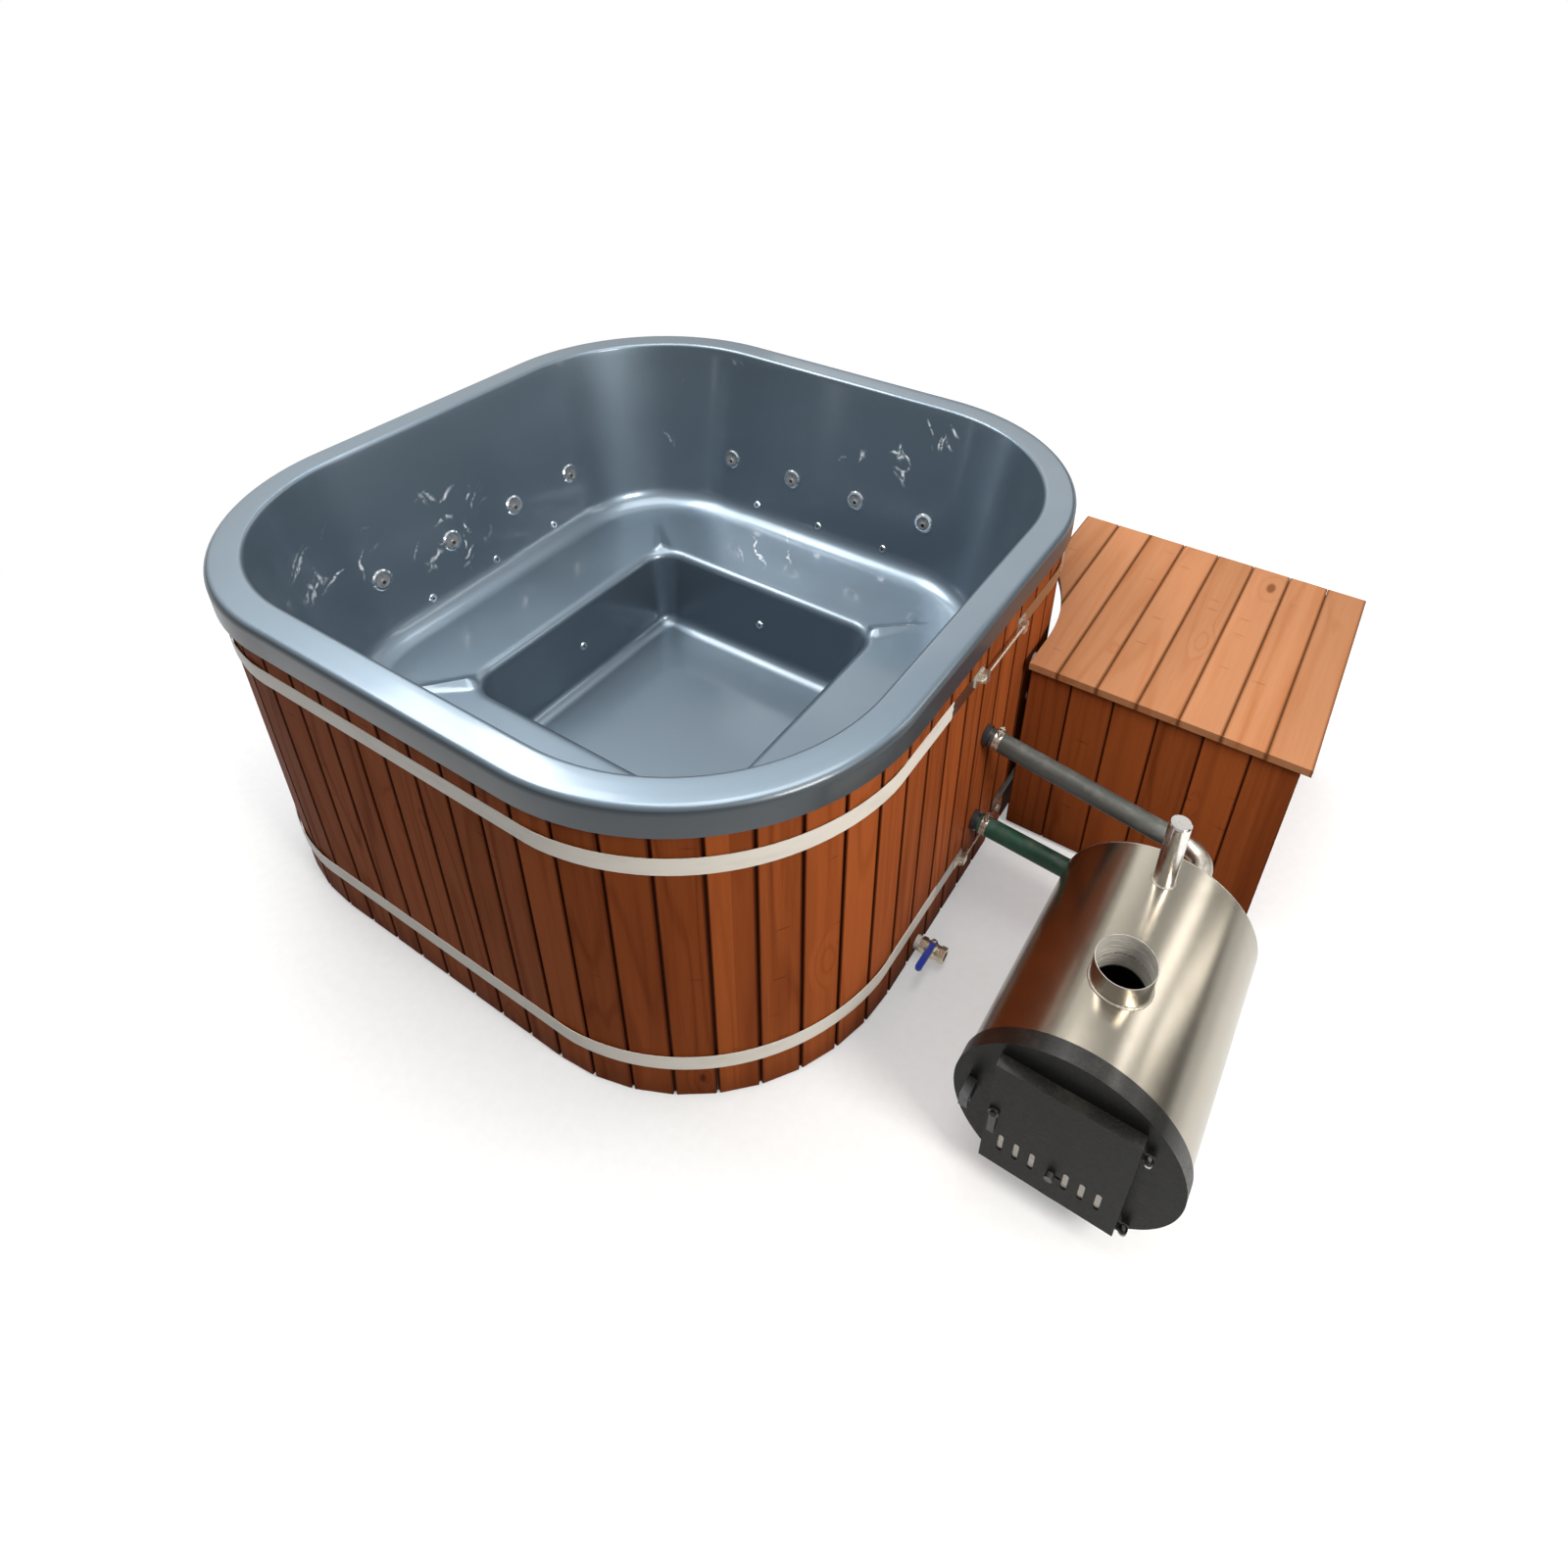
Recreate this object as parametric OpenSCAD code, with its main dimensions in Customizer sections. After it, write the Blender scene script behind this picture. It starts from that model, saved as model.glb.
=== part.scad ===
// Square wood-fired hot tub: moulded liner in a stave jacket, outside stove and technical box.
// Units are millimetres. The origin is on the floor under the middle of the tub, +Z up,
// -Y is the front, +X is the side with the hoses, the stove and the box.

/* [Tub] */
// outside width of the square rim
tub_w = 2000; // [1900:10:2150]
// height of the rim above the floor
tub_h = 990; // [940:5:1060]
// corner radius of the rim
corner_r = 600; // [560:5:640]
// width of the flat lip around the bath
lip_w = 80; // [65:1:100]
// lean of the upper wall from the vertical, degrees
wall_tilt = 13; // [10:0.5:15]
// height of the bench
seat_h = 400; // [370:5:430]
// width of the footwell at bench height
well_w = 900; // [840:10:960]
// height of the footwell floor
floor_h = 120; // [116:1:130]
// thickness of the moulded shell
shell_t = 8; // [6:0.5:9]

/* [Jacket] */
// thickness of the wooden staves
stave_t = 28; // [22:1:30]
// distance from the rim's top down to the stave tops
stave_drop = 40; // [35:1:60]
// distance from the rim's top down to the middle of the upper band
band_drop = 170; // [150:5:180]
// height of the middle of the lower band
band_lo = 146; // [140:2:160]
// width of the steel bands
band_w = 48; // [36:1:56]

/* [Jets] */
// height of the water jets
jet_z = 600; // [580:5:640]
// distance between neighbouring jets
jet_gap = 268; // [240:2:272]
// height of the air nozzles
air_z = 462; // [460:1:490]

/* [Water] */
// about how far the two hoses are from the middle of the side wall (they take the stave there)
hose_at = 60; // [45:1:65]
// outside diameter of the hoses
hose_d = 56; // [52:1:60]
// height of the upper water port
port_hi = 548; // [530:2:570]
// height of the lower water port
port_lo = 226; // [210:2:250]
// height of the drain pipe
drain_z = 42; // [38:1:46]

/* [Stove] */
// outside diameter of the stove shell
stove_d = 480; // [460:5:500]
// height of the stove shell above the floor
foot_h = 37; // [37:1:60]
// distance of the stove axis from the tub rim
stove_off = 515; // [500:5:560]
// length of the stove shell
stove_len = 607; // [580:5:660]
// outside diameter of the flue collar
flue_d = 130; // [120:1:150]
// height of the flue collar above the shell
flue_h = 60; // [50:1:80]

/* [Box] */
// width of the technical box beside the tub
box_w = 704; // [660:4:760]
// depth of the technical box
box_d = 805; // [780:5:860]
// height of the closed lid
box_h = 650; // [635:5:680]

/* [Hidden] */
$fn = 64;
stave_top = tub_h - stave_drop;
band_hi = tub_h - band_drop;
stove_z = foot_h + stove_d / 2;
eps = 0.01;

// plan: every ring of the tub is a square with corners turned about the same four points
half = tub_w / 2;
cc = half - corner_r;
r_st = corner_r - 15;
r_in = r_st - stave_t;
stave_z0 = 8;
n_side = round(2 * cc / 100);
side_p = 2 * cc / n_side;
hose_y = (floor((hose_at + cc) / side_p) + 0.6) * side_p - cc;
n_turn = 9;
turn = 90 / n_turn;

// liner section, measured outwards from the corner points
skirt = 76;
roll = 35;
ri = 14;
rc = 60;
lip_x = corner_r - lip_w + 2;
wall_l = ((tub_h - ri + ri * sin(wall_tilt)) - (seat_h + rc - rc * sin(wall_tilt)))
  / cos(wall_tilt);
seat_r = lip_x - ri * cos(wall_tilt) - wall_l * sin(wall_tilt) - rc * cos(wall_tilt);
cove_r = seat_r + rc * cos(wall_tilt);
cove_z = seat_h + rc - rc * sin(wall_tilt);
well_r = 100;
wc = well_w / 2 - well_r;
rf = 20;
rcf = 40;
well_tilt = 7;
well_x = well_r + 8;
well_l = ((seat_h - rf + rf * sin(well_tilt)) - (floor_h + rcf - rcf * sin(well_tilt)))
  / cos(well_tilt);
floor_r = max(6, well_x - rf * cos(well_tilt) - well_l * sin(well_tilt) - rcf * cos(well_tilt));
wcove_r = floor_r + rcf * cos(well_tilt);
wcove_z = floor_h + rcf - rcf * sin(well_tilt);
function wall_r(z) = cove_r + (z - cove_z) * tan(wall_tilt);
function well_wr(z) = wcove_r + (z - wcove_z) * tan(well_tilt);
function arc(x, y, r, a0, a1, n) =
  [for (i = [0 : n]) [x + r * cos(a0 + (a1 - a0) * i / n), y + r * sin(a0 + (a1 - a0) * i / n)]];
function rev(v) = [for (i = [len(v) - 1 : -1 : 0]) v[i]];
// plan outline of the stave jacket at a given distance from the corner points
function ring_pts(r) = [for (q = [0 : 3]) for (k = [0 : n_turn])
  let (a = 90 * q + turn * k, s = [[1, 1], [-1, 1], [-1, -1], [1, -1]][q])
  [s[0] * cc + r * cos(a), s[1] * cc + r * sin(a)]];

// timber under and around the liner
base_t = 18;
base_top = floor_h - shell_t;
bear_top = base_top - base_t;
ring_h = 45;
up_r0 = lip_x + 10;
up_z = tub_h - shell_t - ring_h;

// jets: the seat of each fitting is spot faced 0.5 mm into the wall
spot = 0.5;
jet_l = 50;
jet_s = 18;
jet_b = shell_t + jet_l;
air_l = 24;
air_s = 12;
air_b = shell_t + air_l;
pipe_d = 40;
apipe_d = 25;
pw_r = wall_r(jet_z) + jet_b * cos(wall_tilt);
pw_z = jet_z - jet_b * sin(wall_tilt);
pa_r = wall_r(air_z) + air_b * cos(wall_tilt);
pa_z = air_z - air_b * sin(wall_tilt);
pump_y = cc - side_p / 2 + 22;

// water
face_x = half - 15;
pipe_od = 48;
hose_id = pipe_od + 0.4;
hose_x0 = face_x + 6;
bend_r = 60;
stove_x = half + stove_off;
stove_yf = -648;
plate_t = 6;
rim_d = 36;
sh_y0 = stove_yf + plate_t;
sh_y1 = sh_y0 + stove_len;
back_t = 4;
spig_x = stove_x + 65;
hose_x1 = spig_x - bend_r;
hose_e = 14;
spig_l = 52;
st_hi = stove_z + stove_d / 2 - 50;
st_lo = stove_z - 95;
spig_y = hose_y;
fire_r = 200;
fire_l = stove_len - 85;
front_r = stove_d / 2 + 7;

// drain
drain_x = 300;
// the drain pipe runs behind the second bearer, through the middle of a stave
bear_in = 70;
bear_out = 300;
drain_y = (floor((bear_in + 90) / side_p) + 0.5) * side_p - cc;
valve_x = face_x + 15;
val_l = 70;
val_cx = valve_x + val_l / 2;

// places along the stove, and the spread of its feet
flue_y = -415;
vent_y = -117;
foot_w = 300;

// stove door, measured from the stove axis
door_x0 = -155;
door_x1 = 145;
door_z0 = -185;
door_z1 = 160;
door_t = 30;
door_gap = 0.5;
door_yb = stove_yf - door_gap;
door_yf = door_yb - door_t;
hinge_x = 160;
hinge_y = stove_yf - 15;
sl_z = -97;
sl_p = 35;
sl_w = 12;
sl_h = 58;
// height of the rails above and below the slots' middle
sl_r = sl_h / 2 + 6;
sl_y = door_yf + 3 + 0.3;
latch_x = -140;
latch_z = 4;

// box
bx0 = half + 6;
bx1 = bx0 + box_w;
by0 = cc - 105;
by1 = by0 + box_d;
b_t = 18;
rail = 30;
lid_t = 22;
lid_z = box_h - lid_t;
lid_x0 = bx0 - 136;
lid_x1 = bx1 + 23;
lid_y0 = by0 - 20;
hin_y = by1 + 6;
hin_z = lid_z;
hin_x = [bx0 + 60, bx1 - 160];
deck_z = 75;
pump_cy = pump_y + 63;
drop_x = bx0 + 174;
blow_x = bx0 + 84;
blow_y = pump_y + 388;

// helpers
module rsq(c, r, h) {
  translate([-(c + r), -c, 0]) cube([2 * (c + r), 2 * c, h]);
  translate([-c, -(c + r), 0]) cube([2 * c, 2 * (c + r), h]);
  for (x = [-c, c]) for (y = [-c, c]) translate([x, y, 0]) cylinder(r = r, h = h);
}
module sweep(c) {
  for (q = [0 : 3]) rotate([0, 0, 90 * q]) {
    translate([c, c, 0]) rotate_extrude(angle = 90) children();
    translate([c, c, 0]) rotate([90, 0, 0]) linear_extrude(2 * c) children();
  }
}
module ring(c, r0, r1, h) {
  sweep(c) translate([r0, 0]) square([r1 - r0, h]);
}
module tube_x(d, l) { rotate([0, 90, 0]) cylinder(d = d, h = l); }
module tube_y(d, l) { rotate([-90, 0, 0]) cylinder(d = d, h = l); }
// frame on the bath side of a leaning wall: local +Z points into the bath
module on_wall(r, z, y, q, tilt, c) {
  rotate([0, 0, q]) translate([-(c + r), y, z]) rotate([0, 90 - tilt, 0]) children();
}
module jet_at(i) {
  on_wall(wall_r(jet_z), jet_z, (i % 4 - 1.5) * jet_gap, i < 4 ? 0 : -90, wall_tilt, cc)
    children();
}
module air_at(i) {
  on_wall(wall_r(air_z), air_z, (i % 3 - 1) * jet_gap, i < 3 ? 0 : -90, wall_tilt, cc)
    children();
}
module well_at(i) {
  on_wall(well_wr(250), 250, 0, i == 0 ? 0 : -90, well_tilt, wc) children();
}
module hexa(d, h) { cylinder(d = d, h = h, $fn = 6); }
module in_stove() { translate([stove_x, 0, stove_z]) children(); }

// tub
module liner_wall() {
  polygon(concat([[corner_r, tub_h - skirt]],
    arc(corner_r - roll, tub_h - roll, roll, 0, 90, 7),
    arc(lip_x, tub_h - ri, ri, 90, 180 - wall_tilt, 5),
    arc(seat_r, seat_h + rc, rc, -wall_tilt, -90, 7),
    rev(arc(seat_r, seat_h + rc, rc + shell_t, -wall_tilt, -90, 7)),
    rev(arc(lip_x, tub_h - ri, ri - shell_t, 90, 180 - wall_tilt, 5)),
    rev(arc(corner_r - roll, tub_h - roll, roll - shell_t, 0, 90, 7)),
    [[corner_r - shell_t, tub_h - skirt]]));
}
module liner_well() {
  polygon(concat(arc(well_x, seat_h - rf, rf, 90, 180 - well_tilt, 5),
    arc(floor_r, floor_h + rcf, rcf, -well_tilt, -90, 6),
    rev(arc(floor_r, floor_h + rcf, rcf + shell_t, -well_tilt, -90, 6)),
    rev(arc(well_x, seat_h - rf, rf - shell_t, 90, 180 - well_tilt, 5))));
}
module tub_liner() {
  color("#5d6f80") difference() {
    union() {
      sweep(cc) liner_wall();
      sweep(wc) liner_well();
      difference() {
        translate([0, 0, seat_h - shell_t]) rsq(cc, seat_r, shell_t);
        translate([0, 0, seat_h - shell_t - 1]) rsq(wc, well_x, shell_t + 2);
      }
      translate([0, 0, floor_h - shell_t]) rsq(wc, floor_r, shell_t);
      for (q = [0 : 3]) rotate([0, 0, 90 * q + 45]) intersection() {
        translate([(wc + well_x * 0.7072) * 1.4142 + 36, 0, seat_h]) union() {
          sphere(r = 26);
          rotate([0, 90, 0]) cylinder(r1 = 26, r2 = 6, h = 180);
        }
        translate([300, -60, seat_h - 4]) cube([700, 120, 60]);
      }
    }
    for (i = [0 : 7]) jet_at(i) {
      translate([0, 0, -30]) cylinder(d = 55, h = 40);
      translate([0, 0, -spot]) cylinder(d = 72, h = 20);
    }
    for (i = [0 : 5]) air_at(i) {
      translate([0, 0, -30]) cylinder(d = 16.6, h = 40);
      translate([0, 0, -spot]) cylinder(d = 32, h = 12);
    }
    for (i = [0 : 1]) well_at(i) {
      translate([0, 0, -30]) cylinder(d = 16.6, h = 40);
      translate([0, 0, -spot]) cylinder(d = 32, h = 12);
    }
    translate([cc + wall_r(port_hi) - 60, hose_y, port_hi]) tube_x(pipe_od + 1, 120);
    translate([wc + well_wr(port_lo) - 40, hose_y, port_lo]) tube_x(pipe_od + 1, 80);
    translate([drain_x, drain_y, floor_h - shell_t - 1]) cylinder(d = 51, h = shell_t + 2);
  }
}
module stave_bar() {
  w = side_p / 2 - 0.2;
  g = 3.5;
  translate([0, 0, stave_z0]) linear_extrude(stave_top - stave_z0)
    polygon([[r_in, -w], [r_in, w], [r_st - 8, w], [r_st - 8, w - g], [r_st - 2, w - g],
      [r_st, w - g - 2], [r_st, -w + g + 2], [r_st - 2, -w + g], [r_st - 8, -w + g],
      [r_st - 8, -w]]);
}
drilled = [floor((drain_y + cc) / side_p), floor((hose_y + cc) / side_p), n_side - 1];
module staves_straight() {
  color("#9c4a2a") for (q = [0 : 3]) rotate([0, 0, 90 * q])
    for (i = [0 : n_side - 1])
      if (q > 0 || (i != drilled[0] && i != drilled[1] && i != drilled[2]))
        translate([cc, -cc + side_p * (i + 0.5), 0]) stave_bar();
}
module staves_drilled() {
  color("#a24e2c") difference() {
    for (i = drilled) translate([cc, -cc + side_p * (i + 0.5), 0]) stave_bar();
    translate([face_x - 80, hose_y, port_hi]) tube_x(pipe_od + 2, 160);
    translate([face_x - 80, hose_y, port_lo]) tube_x(pipe_od + 2, 160);
    translate([face_x - 80, drain_y, drain_z]) tube_x(42, 160);
    translate([face_x - 80, pump_y, pw_z]) tube_x(pipe_d + 2, 160);
    translate([face_x - 80, pump_y, pa_z]) tube_x(apipe_d + 2, 160);
  }
}
module staves_corner() {
  a = turn / 2;
  g = 3.5;
  ro = r_st * cos(a);
  rj = r_in * cos(a);
  wo = r_st * sin(a) - 0.2;
  wi = r_in * sin(a) - 0.2;
  wm = (ro - 8) * tan(a) - 0.2;
  color("#9c4a2a") for (q = [0 : 3]) rotate([0, 0, 90 * q]) translate([cc, cc, stave_z0])
    for (k = [0 : n_turn - 1]) rotate([0, 0, turn * (k + 0.5)])
      linear_extrude(stave_top - stave_z0)
        polygon([[rj, -wi], [rj, wi], [ro - 8, wm], [ro - 8, wo - g], [ro - 2, wo - g],
          [ro, wo - g - 2], [ro, -wo + g + 2], [ro - 2, -wo + g], [ro - 8, -wo + g],
          [ro - 8, -wm]]);
}
module band(z, y0, y1) {
  translate([0, 0, z - band_w / 2]) difference() {
    linear_extrude(band_w) difference() {
      polygon(ring_pts(r_st + 1.5));
      polygon(ring_pts(r_st));
    }
    translate([face_x - 20, y0, -1]) cube([60, y1 - y0, band_w + 2]);
  }
}
lug_y = [-25, 185];
// shift of the lower tensioner along its wall
lug_s = 20;
module band_upper() { color("#e9e9e6") band(band_hi, lug_y[0], lug_y[1]); }
module band_lower() { color("#e9e9e6") band(band_lo, lug_y[0] + lug_s, lug_y[1] + lug_s); }
module band_lugs() {
  color("#b9bcbe") for (b = [[band_hi, 0], [band_lo, lug_s]]) for (k = [0, 1])
    translate([face_x + 1.5, lug_y[k] + b[1] + (k == 0 ? -22 : 0), b[0]]) difference() {
      union() {
        translate([0, k == 0 ? -24 : 0, -17]) cube([3, 46, 34]);
        translate([0, 0, -14]) cube([20, 22, 28]);
      }
      translate([12, -30, 0]) tube_y(8.6, 90);
    }
}
module band_bolts() {
  l = lug_y[1] - lug_y[0] + 44;
  color("#8f9295") for (b = [[band_hi, 0], [band_lo, lug_s]])
    translate([face_x + 13.5, lug_y[0] + b[1] - 22, b[0]]) {
      translate([0, -16, 0]) tube_y(8, l + 32);
      translate([0, -6, 0]) rotate([-90, 0, 0]) hexa(14, 6);
      translate([0, l, 0]) rotate([-90, 0, 0]) hexa(14, 7);
    }
}
bear_y = [-cc - bear_out, -cc + bear_in, 0, cc - bear_in, cc + bear_out];
module floor_bearers() {
  color("#8c6b45") for (y = bear_y) {
    e = max(0, abs(y) + 48 - cc);
    l = cc + (e > 0 ? sqrt(pow(r_in * 0.99, 2) - e * e) : r_in * 0.99) - 4;
    translate([-l, y - 47, 0]) cube([2 * l, 94, bear_top]);
  }
}
module base_panel() {
  color("#b58d5c") translate([0, 0, bear_top]) difference() {
    rsq(cc, r_in - 60, base_t);
    translate([drain_x, drain_y, -1]) cylinder(d = 54, h = base_t + 2);
  }
}
module hoop(z, r0) {
  translate([0, 0, z]) difference() {
    linear_extrude(ring_h) polygon(ring_pts(r_in));
    translate([0, 0, -1]) rsq(cc, r0, ring_h + 2);
  }
}
module ring_frames() {
  color("#a98256") {
    hoop(bear_top, r_in - 57);
    hoop(up_z, up_r0);
  }
}
module frame_posts() {
  color("#a98256") for (q = [0 : 3]) rotate([0, 0, 90 * q]) for (y = [-1, 1])
    translate([cc + r_in - 28, y * (cc - 150) - 30, bear_top + ring_h])
      cube([26, 60, up_z - bear_top - ring_h]);
}

// jets
module jet_bodies() {
  color("#c9ccd0") for (i = [0 : 7]) jet_at(i) difference() {
    union() {
      translate([0, 0, -spot]) cylinder(d = 68, h = 3);
      translate([0, 0, 3 - spot]) cylinder(d1 = 68, d2 = 58, h = 3);
      translate([0, 0, -24]) cylinder(d = 54, h = 26);
      translate([0, 0, -(jet_b - jet_s)]) cylinder(d = 36, h = 30);
    }
    translate([0, 0, -20]) cylinder(d = 46, h = 40);
    translate([0, 0, -60]) cylinder(d = 28, h = 60);
  }
}
module jet_nozzle(i) {
  color("#8e9296") jet_at(i) difference() {
    union() {
      translate([0, 0, -19.7]) cylinder(d = 45.9, h = 22);
      translate([8, 0, 2]) cylinder(d1 = 26, d2 = 20, h = 5);
    }
    translate([8, 0, -30]) cylinder(d = 13, h = 60);
    translate([-12, 0, 0]) cylinder(d = 9, h = 20);
  }
}
module jet_nozzle_1() { jet_nozzle(0); }
module jet_nozzle_2() { jet_nozzle(1); }
module jet_nozzle_3() { jet_nozzle(2); }
module jet_nozzle_4() { jet_nozzle(3); }
module jet_nozzle_5() { jet_nozzle(4); }
module jet_nozzle_6() { jet_nozzle(5); }
module jet_nozzle_7() { jet_nozzle(6); }
module jet_nozzle_8() { jet_nozzle(7); }
module air_nozzle() {
  difference() {
    union() {
      translate([0, 0, -spot]) cylinder(d1 = 30, d2 = 24, h = 4);
      translate([0, 0, -(air_b - air_s)]) cylinder(d = 16, h = air_b - air_s);
    }
    translate([0, 0, -60]) cylinder(d = 8, h = 80);
  }
}
module air_nozzles() {
  color("#c9ccd0") {
    for (i = [0 : 5]) air_at(i) air_nozzle();
    for (i = [0 : 1]) well_at(i) air_nozzle();
  }
}
// one run of pipe: left wall, corner, back wall, corner, out through the side wall
module pipe_run(r, z, d, x_end) {
  y0 = -1.5 * jet_gap - 40;
  translate([-(cc + r), y0, z]) tube_y(d, cc - y0);
  translate([-cc, cc + r, z]) tube_x(d, 2 * cc);
  translate([-cc, cc, z]) rotate([0, 0, 90]) rotate_extrude(angle = 90)
    translate([r, 0]) circle(d = d);
  translate([cc, cc, z]) rotate_extrude(angle = 90) translate([r, 0]) circle(d = d);
  translate([cc + r, pump_y - 32, z]) tube_y(d + 8, cc - pump_y + 30);
  translate([cc + r, pump_y - 28, z]) tube_y(d, cc - pump_y + 28);
  translate([cc + r - 3, pump_y, z]) tube_x(d, x_end - cc - r + 3);
}
module jet_water_pipe() {
  color("#e4e4e0") difference() {
    union() {
      pipe_run(pw_r, pw_z, pipe_d, drop_x - 60);
      translate([drop_x - 60, pump_y, pw_z - 60]) rotate([90, 0, 0])
        rotate_extrude(angle = 90) translate([60, 0]) circle(d = pipe_d);
      translate([drop_x, pump_y, deck_z + 180]) cylinder(d = pipe_d, h = pw_z - 240 - deck_z);
      translate([drop_x, pump_y, pw_z - 82]) cylinder(d = pipe_d + 8, h = 28);
      for (i = [0 : 7]) jet_at(i) translate([0, 0, -jet_b]) cylinder(d = 44, h = 30);
    }
    for (i = [0 : 7]) jet_at(i) translate([0, 0, -jet_b]) cylinder(d = 28, h = 40);
    for (i = [0 : 7]) jet_at(i) translate([0, 0, -jet_b + jet_s]) cylinder(d = 36.4, h = 20);
    translate([drop_x, pump_y, deck_z + 170]) cylinder(d = 32, h = 120);
  }
}
module jet_air_pipe() {
  color("#e4e4e0") difference() {
    union() {
      pipe_run(pa_r, pa_z, apipe_d, blow_x - 50);
      translate([blow_x - 50, pump_y + 50, pa_z]) rotate([0, 0, -90])
        rotate_extrude(angle = 90) translate([50, 0]) circle(d = apipe_d);
      translate([blow_x, pump_y + 50, pa_z]) tube_y(apipe_d, blow_y - pump_y - 110);
      for (i = [0 : 5]) air_at(i) translate([0, 0, -air_b]) cylinder(d = 22, h = 20);
    }
    for (i = [0 : 5]) air_at(i) translate([0, 0, -air_b]) cylinder(d = 8, h = 40);
    for (i = [0 : 5]) air_at(i) translate([0, 0, -air_b + air_s]) cylinder(d = 16.4, h = 20);
  }
}

// water ports and hoses
module port(r, z0, z1, c, tilt) {
  x = c + r;
  difference() {
    union() {
      translate([x, hose_y, z0]) rotate([0, -90 + tilt, 0]) cylinder(d = 84, h = 4);
      translate([x - 2, hose_y, z0]) tube_x(pipe_od, hose_x0 - x + 2);
      translate([hose_x0 - 5, hose_y, z0]) tube_x(pipe_od + 10, 13);
      along_hose(z0, z1) tube_x(pipe_od, spig_l);
    }
    translate([x - 30, hose_y, z0]) tube_x(pipe_od - 6, hose_x0 - x + 30);
    translate([hose_x0 - 3, hose_y, z0]) tube_x(pipe_od - 2, 7);
    along_hose(z0, z1) translate([-2, 0, 0]) tube_x(pipe_od - 7, spig_l + 6);
  }
}
module port_fittings() {
  color("#3b3e42") {
    port(wall_r(port_hi), port_hi, st_hi, cc, wall_tilt);
    port(well_wr(port_lo), port_lo, st_lo, wc, well_tilt);
  }
}
function hose_len(z0, z1) = norm([hose_x1 - hose_x0, z0 - z1]);
// frame at the tub end of a hose, local +X along the hose
module along_hose(z0, z1) {
  translate([hose_x0, hose_y, z0]) rotate([0, atan2(z0 - z1, hose_x1 - hose_x0), 0]) children();
}
module hose_run(z0, z1) {
  l = hose_len(z0, z1) - 2 * hose_e;
  along_hose(z0, z1) difference() {
    translate([hose_e, 0, 0]) tube_x(hose_d, l);
    translate([hose_e - 1, 0, 0]) tube_x(hose_id, l + 2);
  }
}
module upper_hose() { color("#54585a") hose_run(port_hi, st_hi); }
module lower_hose() { color("#1d4a3c") hose_run(port_lo, st_lo); }
module hose_clamps() {
  color("#c3c5c6") for (p = [[port_hi, st_hi], [port_lo, st_lo]]) for (k = [0, 1])
    along_hose(p[0], p[1]) translate([k == 0 ? 22 : hose_len(p[0], p[1]) - 40, 0, 0]) {
      difference() {
        union() {
          tube_x(hose_d + 3, 18);
          translate([2, -9, hose_d / 2 - 3]) cube([14, 5, 16]);
          translate([2, 4, hose_d / 2 - 3]) cube([14, 5, 16]);
          translate([9, -20, hose_d / 2 + 7]) tube_y(6, 38);
          translate([9, 9, hose_d / 2 + 7]) rotate([-90, 0, 0]) hexa(11, 5);
          translate([9, -14, hose_d / 2 + 7]) rotate([-90, 0, 0]) hexa(11, 5);
        }
        translate([-1, 0, 0]) tube_x(hose_d + 0.2, 20);
      }
    }
}

// drain
module drain_fitting() {
  color("#b9bcbe") translate([drain_x, drain_y, 0]) difference() {
    union() {
      translate([0, 0, floor_h]) cylinder(d1 = 88, d2 = 80, h = 4);
      translate([0, 0, drain_z + 30]) cylinder(d = 50, h = floor_h - drain_z - 28);
    }
    translate([0, 0, drain_z]) cylinder(d = 34, h = floor_h - drain_z - 3);
    for (a = [0 : 60 : 300]) rotate([0, 0, a]) translate([11, 0, floor_h - 10])
      cylinder(d = 7, h = 30);
    translate([0, 0, floor_h - 10]) cylinder(d = 7, h = 30);
  }
}
module drain_pipe() {
  color("#d7d7d2") difference() {
    union() {
      translate([drain_x + 30, drain_y, drain_z]) tube_x(40, valve_x - drain_x - 30);
      translate([drain_x + 30, drain_y, drain_z + 30]) rotate([-90, 0, 180])
        rotate_extrude(angle = 90) translate([30, 0]) circle(d = 40);
    }
    translate([drain_x + 30, drain_y, drain_z]) tube_x(32, valve_x - drain_x);
    translate([drain_x + 30, drain_y, drain_z + 30]) rotate([-90, 0, 180])
      rotate_extrude(angle = 90) translate([30, 0]) circle(d = 32);
  }
}
module valve_body() {
  color("#c7b98f") translate([valve_x, drain_y, drain_z]) difference() {
    union() {
      tube_x(40, val_l);
      rotate([0, 90, 0]) hexa(46, 14);
      translate([val_l - 16, 0, 0]) rotate([0, 90, 0]) hexa(46, 16);
      translate([val_l / 2, 0, 0]) sphere(d = 46);
      translate([val_l / 2, 0, 0]) cylinder(d = 18, h = 30);
    }
    translate([-1, 0, 0]) tube_x(18, val_l + 2);
    translate([val_l - 14, 0, 0]) tube_x(27, 20);
    translate([val_l / 2, 0, 0]) sphere(d = 28.6);
    translate([val_l / 2, 0, 0]) cylinder(d = 8.1, h = 40);
  }
}
module valve_ball() {
  color("#d9dbdd") translate([val_cx, drain_y, drain_z]) difference() {
    union() {
      sphere(d = 28);
      cylinder(d = 8, h = 43);
    }
    translate([0, -20, 0]) tube_y(18, 40);
  }
}
module valve_lever() {
  color("#1f46b8") translate([val_cx, drain_y, drain_z + 30.3]) difference() {
    union() {
      cylinder(d = 20, h = 4);
      translate([-8, -34, 0]) cube([16, 34, 4]);
      translate([-9, -88, 0]) cube([18, 56, 7]);
      translate([0, -88, 0]) cylinder(d = 18, h = 7);
    }
    translate([0, 0, -1]) cylinder(d = 8, h = 10);
  }
}
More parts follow.
